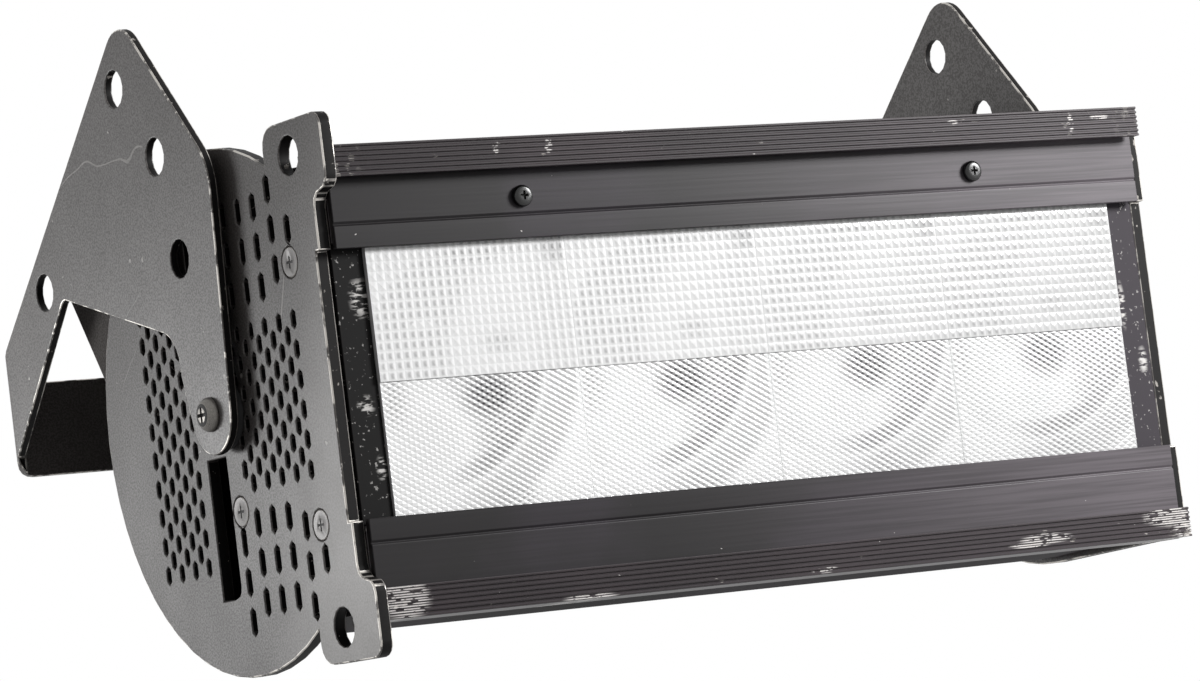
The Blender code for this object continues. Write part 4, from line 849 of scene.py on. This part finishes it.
def diamond_sheet(width, height, pitch, depth):
    """A lattice of diamond points cut to a rectangle, facing up, centred on the origin."""
    count = int(1.6 * math.hypot(width, height) / pitch)
    bpy.ops.mesh.primitive_grid_add(x_subdivisions=count, y_subdivisions=count, size=count * pitch)
    sheet = bpy.context.object
    turn = {"value": math.radians(45), "orient_axis": "Z", "center_override": (0, 0, 0)}
    whole(sheet, bpy.ops.transform.rotate, **turn)
    lean, half = math.radians(DIAMOND_LEAN), math.sin(math.radians(45))
    sheet.scale = (math.cos(lean) / half, math.sin(lean) / half, 1)
    rest(sheet)
    bpy.ops.object.mode_set(mode="EDIT")
    for x, y, limit in ((1, 0, width), (-1, 0, width), (0, 1, height), (0, -1, height)):
        bpy.ops.mesh.select_all(action="SELECT")
        side = Vector((x, y, 0))
        bpy.ops.mesh.bisect(plane_co=side * limit / 2, plane_no=side, clear_outer=True, threshold=TOUCH)
    bpy.ops.mesh.select_all(action="SELECT")
    bpy.ops.mesh.poke(offset=depth)
    bpy.ops.object.mode_set(mode="OBJECT")
    return sheet


def closed_back(sheet, depth):
    """Pull a sheet's rim back and close it, so that the sheet is a plate."""
    only(sheet)
    bpy.ops.object.mode_set(mode="EDIT")
    bpy.ops.mesh.select_all(action="DESELECT")
    bpy.ops.mesh.select_non_manifold()
    bpy.ops.mesh.extrude_region_move(TRANSFORM_OT_translate={"value": (0, 0, -depth)})
    bpy.ops.mesh.edge_face_add()
    bpy.ops.mesh.select_all(action="SELECT")
    bpy.ops.mesh.normals_make_consistent(inside=False)
    bpy.ops.object.mode_set(mode="OBJECT")


class WASH_OT_lenses(Operator):
    """Prism lenses: square points above, finer diamonds below"""

    bl_idname = "wash.lenses"
    bl_label = "Lenses"

    def execute(self, context):
        sizes = context.scene.wash_sizes
        low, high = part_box(LENSES[0])
        middle = (low + high) / 2
        width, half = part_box(LENSES[1])[0].x - low.x - LENS_JOINT, (high.z - low.z) / 2
        upper = prism_sheet(width, half, sizes.prism_columns, sizes.prism_rows, sizes.prism_depth)
        lower = diamond_sheet(width, half, sizes.diamond_pitch, sizes.diamond_depth)
        for sheet, depth, rise in (
            (upper, sizes.prism_depth, half / 2), (lower, LENS_STEP + sizes.diamond_depth, -half / 2),
        ):
            closed_back(sheet, high.y - low.y - depth)
            sheet.rotation_euler = (math.radians(90), 0, 0)
            sheet.location = (middle.x, low.y + depth, middle.z + rise)
            rest(sheet)
        only(lower, upper)
        bpy.ops.object.join()
        first = bpy.context.object
        for node in LENSES:
            lens = placed(node.replace("cell", "prism"), first.data.copy())
            lens.location.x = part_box(node)[0].x - low.x
            rest(lens)
            paint(lens, "prism")
            hold(lens, body_of(node), slot_of(node), node)
        bpy.data.objects.remove(first)
        return {"FINISHED"}


class WASH_OT_reflectors(Operator):
    """Metallised bowls behind the lenses, and what lies behind them"""

    bl_idname = "wash.reflectors"
    bl_label = "Reflectors"

    def execute(self, context):
        for node in REFLECTORS:
            low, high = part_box(node)
            middle = (low + high) / 2
            obj = bowl(node + "_bowl", (high.x - low.x) / 2, high.y - low.y)
            obj.location = (middle.x, high.y, middle.z)
            rest(obj)
            paint(obj, "metallised")
            hold(obj, body_of(node), slot_of(node), node)
        for node, finish in (
            ("heat_sink", "aluminium"), ("led_board", "white_board"), ("inner_chassis", "coat"),
            ("power_supply", "black_plastic"), ("driver_board", "board"), ("control_board", "board"),
        ):
            paint(frame["nodes"][node], finish)
        for number in range(1, 5):
            paint(frame["nodes"][f"led_emitter_{number}"], "phosphor")
        return {"FINISHED"}


def bowl(name, rim, depth):
    """A turned parabolic bowl that opens towards -Y, with a thin wall."""
    inside, steps = rim - BOWL_WALL, 10
    inner = []
    for step in range(steps + 1):
        radius = BOWL_NECK + (inside - BOWL_NECK) * step / steps
        inner.append((radius, (radius**2 - BOWL_NECK**2) / (inside**2 - BOWL_NECK**2) * depth))
    profile = inner + [(radius + BOWL_WALL, rise) for radius, rise in reversed(inner)]
    bpy.ops.mesh.primitive_circle_add(vertices=len(profile), calc_uvs=False)
    obj = bpy.context.object
    obj.name = obj.data.name = name
    for vertex, (radius, rise) in zip(obj.data.vertices, profile):
        vertex.co = (radius, -rise, 0)
    whole(obj, bpy.ops.mesh.spin, steps=48, angle=math.tau, center=(0, 0, 0), axis=(0, 1, 0))
    whole(obj, bpy.ops.mesh.remove_doubles, threshold=TOUCH)
    whole(obj, bpy.ops.mesh.normals_make_consistent, inside=False)
    bpy.ops.object.shade_smooth_by_angle(angle=math.radians(40))
    return obj


def round_head(radius, height, rim, segments):
    """A disc head along +Z from its seat at 0, with its upper rim rounded over."""
    sides = bpy.context.scene.wash_sizes.head_sides
    bpy.ops.mesh.primitive_cylinder_add(vertices=sides, radius=radius, depth=height)
    head = bpy.context.object
    head.location.z = height / 2
    rest(head)
    bpy.ops.object.mode_set(mode="EDIT")
    bpy.ops.mesh.select_all(action="DESELECT")
    bpy.ops.object.mode_set(mode="OBJECT")
    for edge in head.data.edges:
        edge.select = all(head.data.vertices[v].co.z > height - TOUCH for v in edge.vertices)
    bpy.ops.object.mode_set(mode="EDIT")
    bpy.ops.mesh.select_mode(type="EDGE")
    bpy.ops.mesh.bevel(offset=rim, segments=segments, profile=0.5, affect="EDGES")
    bpy.ops.object.mode_set(mode="OBJECT")
    return head


def cut_cross(head, height, reach, depth, widen):
    """Sink a tapered cross into a head's top."""
    width = bpy.context.scene.wash_sizes.recess_width * widen
    for turn in (0, 90):
        bpy.ops.mesh.primitive_cube_add(size=1, location=(0, 0, height))
        wing = bpy.context.object
        wing.scale = (2 * reach, width, 2 * depth)
        wing.rotation_euler = (0, 0, math.radians(turn))
        rest(wing)
        for vertex in wing.data.vertices:
            if vertex.co.z < height:
                vertex.co.xy *= CROSS_TAPER
        cut = head.modifiers.new("cross", "BOOLEAN")
        cut.object = wing
        cut.operation = "DIFFERENCE"
        only(head)
        bpy.ops.object.modifier_apply(modifier=cut.name)
        bpy.data.objects.remove(wing)


def recess_slots(head, radius, height, finish, rim_finish):
    """The head's finish on top, another on its rim, and painted shade inside its recess."""
    paint(head, finish, "recess", rim_finish)
    for face in head.data.polygons:
        reach = face.center.xy.length
        inside = reach < CROSS_SHARE * radius and 0 < face.center.z < height - 2 * TOUCH
        rim = reach > RIM_SHARE * radius and face.center.z > 0
        face.material_index = 1 if inside else 2 if rim else 0


def seat_of(node, height, outward):
    """Where a head of this height sits so that its top is flush with its node."""
    low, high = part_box(node)
    return (low + high) / 2 + outward * (abs(outward.dot(high - low)) / 2 - height)


def set_screw(node, name, finish, size, facing):
    """A finished screw: head, cross and a plain shank that fills its node's length."""
    *lengths, widen = size
    radius, height, rim, reach, depth, thin = (length * MM for length in lengths)
    outward, turn = FACING[facing]
    low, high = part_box(node)
    length = abs(outward.dot(high - low)) - height
    flat = rim < FLAT_RIM
    head = round_head(radius, height, rim, 1 if flat else 4)
    cut_cross(head, height, reach, depth, widen)
    # flat heads get a painted highlight, with rubbed metal, on their rim
    recess_slots(head, radius, height, finish, "rim_highlight_and_rub" if flat else finish)
    bpy.ops.mesh.primitive_cylinder_add(vertices=20, radius=thin, depth=length)
    shank = bpy.context.object
    shank.location.z = -length / 2
    rest(shank)
    paint(shank, finish)
    only(shank, head)
    bpy.ops.object.join()
    bpy.ops.object.shade_smooth_by_angle(angle=math.radians(35))
    head.rotation_euler = turn
    head.location = seat_of(node, height, outward)
    rest(head)
    head.name = head.data.name = name
    hold(head, body_of(node), slot_of(node), node)


class WASH_OT_screws(Operator):
    """Countersunk, bezel and pivot screws with real cross recesses"""

    bl_idname = "wash.screws"
    bl_label = "Screws"

    def execute(self, context):
        for side in ("left", "right"):
            for row in ("front", "rear"):
                for level in ("upper", "lower"):
                    self.countersunk(f"{side}_screw_{row}_{level}", side)
            set_screw(f"{side}_pivot_screw", f"{side}_pivot_bolt", "zinc", PIVOT_SCREW, side)
        for side in ("left", "right"):
            name = f"{side}_bezel_pan_screw"
            set_screw(f"bezel_screw_{side}", name, "black_screw", BEZEL_SCREW, "front")
        return {"FINISHED"}

    def countersunk(self, node, side):
        """A flat head flush with its plate, and the cone that sinks into it."""
        name = node.replace("screw", "csk")
        set_screw(node, name, "head_coat", COUNTERSUNK, side)
        outward, turn = FACING[side]
        bpy.ops.mesh.primitive_cone_add(
            vertices=bpy.context.scene.wash_sizes.head_sides, radius1=COUNTERSUNK[0] * MM,
            radius2=COUNTERSUNK[5] * MM, depth=CONE_DEPTH,
        )
        cone = bpy.context.object
        cone.rotation_euler = [-angle for angle in turn]
        cone.location = seat_of(node, COUNTERSUNK[1] * MM, outward) - outward * CONE_DEPTH / 2
        rest(cone)
        paint(cone, "head_coat")
        cone.name = cone.data.name = name + "_cone"
        hold(cone, body_of(node), slot_of(node))


class WASH_OT_wing(Operator):
    """The two-lobed wing screw"""

    bl_idname = "wash.wing"
    bl_label = "Wing screw"

    def execute(self, context):
        dressed("wing_screw", "wing_lobes", 0.6 * MM, ("black_screw",), 3, smooth=40)
        return {"FINISHED"}


class WASH_OT_rear(Operator):
    """Rear panel, inlets, display and buttons"""

    bl_idname = "wash.rear"
    bl_label = "Rear panel"

    def execute(self, context):
        dressed("rear_panel", "rear_plate", 0.25 * MM, ("coat", "coat_edge"), 1)
        dressed("display_window", "display_glass", 0.4 * MM, ("display",))
        for node in ("power_inlet", "power_outlet", "data_inlet", "data_outlet"):
            dressed(node, node + "_body", 0.5 * MM, ("black_plastic",), smooth=40)
            self.contacts(node)
        for number in range(1, 5):
            node = f"menu_button_{number}"
            dressed(node, f"button_cap_{number}", 0.45 * MM, ("silicone",), 3, smooth=40)
        return {"FINISHED"}

    def contacts(self, node):
        """Three pins standing round a socket's middle."""
        low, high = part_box(node)
        centre, ring = (low + high) / 2, PIN_CIRCLE * (high.x - low.x)
        pins = []
        for turn in (90, 210, 330):
            x, z = ring * math.cos(math.radians(turn)), ring * math.sin(math.radians(turn))
            bpy.ops.mesh.primitive_cylinder_add(
                vertices=16, radius=PIN_RADIUS, depth=PIN_LENGTH, rotation=(math.pi / 2, 0, 0),
                location=(centre.x + x, high.y - PIN_SETBACK, centre.z + z),
            )
            pins.append(rest(bpy.context.object))
        only(*pins)
        bpy.ops.object.join()
        group = bpy.context.object
        group.name = group.data.name = node + "_contacts"
        paint(group, "brass")
        hold(group, body_of(node), slot_of(node))


class WASH_OT_fans(Operator):
    """Fans behind the end plates' fine vents"""

    bl_idname = "wash.fans"
    bl_label = "Fans"

    def execute(self, context):
        for side in ("left", "right"):
            for part in ("frame", "rotor"):
                paint(frame["nodes"][f"{side}_fan_{part}"], "fan_plastic")
        return {"FINISHED"}


def seen(tree):
    """1 for rays by which the eye sees, directly or in a reflection, and 0 for rays that carry light."""
    path = add(tree, "LightPath").outputs
    return most(tree, path["Is Camera Ray"], path["Is Glossy Ray"], path["Is Transmission Ray"])


class WASH_OT_stage(Operator):
    """White studio, lamps and the camera at the photograph's angle"""

    bl_idname = "wash.stage"
    bl_label = "Stage"

    def execute(self, context):
        self.floor()
        self.world()
        self.lamps()
        self.camera()
        context.scene.view_settings.view_transform = "Standard"
        return {"FINISHED"}

    def floor(self):
        """A pale floor, seen from above only, so that the low camera looks through its underside."""
        bpy.ops.mesh.primitive_plane_add(size=FLOOR_SIZE, location=(0, 0, -FLOOR_DROP))
        plane = bpy.context.object
        plane.name = "studio_floor"
        material, tree = blank("studio_white")
        back = add(tree, "NewGeometry").outputs["Backfacing"]
        lit = add(tree, "BsdfDiffuse", {"Color": linear("9a9a9a")})
        strength = product(tree, seen(tree), FLOOR_GLOW)
        glow = add(tree, "Emission", {"Color": (1, 1, 1, 1), "Strength": strength})
        white = add(tree, "AddShader", {0: lit, 1: glow})
        through = add(tree, "BsdfTransparent")
        either = add(tree, "MixShader", {0: back, 1: white, 2: through})
        add(tree, "OutputMaterial", {"Surface": either})
        plane.data.materials.append(material)

    def world(self):
        """White to the camera and in reflections, a softer light on the object."""
        world = bpy.data.worlds.new("studio")
        bpy.context.scene.world = world
        world.use_nodes = True
        tree = world.node_tree
        tree.nodes.clear()
        strength = add(tree, "MapRange", {"Value": seen(tree), "To Min": WORLD_LIGHT, "To Max": 1})
        sky = add(tree, "Background", {"Color": (1, 1, 1, 1), "Strength": strength})
        add(tree, "OutputWorld", {"Surface": sky})

    def lamps(self):
        """A key lamp behind the ear side, and one before the window's far end."""
        colours = bpy.context.scene.wash_colours
        for name, (place, size), power in (
            ("key_lamp", KEY_LAMP, colours.key_power), ("front_lamp", FRONT_LAMP, colours.fill_power),
        ):
            lamp = bpy.data.lights.new(name, "AREA")
            lamp.size = size
            lamp.energy = power
            holder = placed(name, lamp)
            holder.location = place
            aim = Vector((0, 0, AXIS_Z)) - Vector(place)
            holder.rotation_euler = aim.to_track_quat("-Z", "Y").to_euler()

    def camera(self):
        """A long lens, low and to the left, rolled a little, as the photograph was taken."""
        data = bpy.data.cameras.new("photo_camera")
        data.sensor_fit = "HORIZONTAL"
        data.sensor_width = 36
        data.lens = CAMERA_LENS
        data.clip_start = 0.05
        data.clip_end = 50
        camera = placed("photo_camera", data)
        right, down, forward = Vector(CAMERA_RIGHT), Vector(CAMERA_DOWN), Vector(CAMERA_FORWARD)
        turn = Matrix((right, -down, -forward)).transposed().to_4x4()
        camera.matrix_world = Matrix.Translation(CAMERA_PLACE) @ turn
        bpy.context.scene.camera = camera


STEPS = (
    WASH_OT_stage, WASH_OT_finishes, WASH_OT_plates, WASH_OT_yoke, WASH_OT_rails, WASH_OT_housing,
    WASH_OT_lenses, WASH_OT_reflectors, WASH_OT_screws, WASH_OT_wing, WASH_OT_rear, WASH_OT_fans,
)


class WASH_PT_panel(Panel):
    """Sizes, colours and the steps that dress the light"""

    bl_idname = "WASH_PT_panel"
    bl_label = "Wash Light"
    bl_space_type = "VIEW_3D"
    bl_region_type = "UI"
    bl_category = "Wash Light"

    def draw(self, context):
        for group in (context.scene.wash_sizes, context.scene.wash_colours):
            column = self.layout.column(align=True)
            for name in group.__annotations__:
                column.prop(group, name)
        column = self.layout.column(align=True)
        for step in STEPS:
            column.operator(step.bl_idname)


CLASSES = (LightSizes, LightColours, *STEPS, WASH_PT_panel)


def register():
    for kind in CLASSES:
        bpy.utils.register_class(kind)
    bpy.types.Scene.wash_sizes = PointerProperty(type=LightSizes)
    bpy.types.Scene.wash_colours = PointerProperty(type=LightColours)


def unregister():
    del bpy.types.Scene.wash_colours
    del bpy.types.Scene.wash_sizes
    for kind in reversed(CLASSES):
        bpy.utils.unregister_class(kind)


def main():
    register()
    for step in STEPS:
        area, name = step.bl_idname.split(".")
        getattr(getattr(bpy.ops, area), name)()


if __name__ == "__main__":
    main()
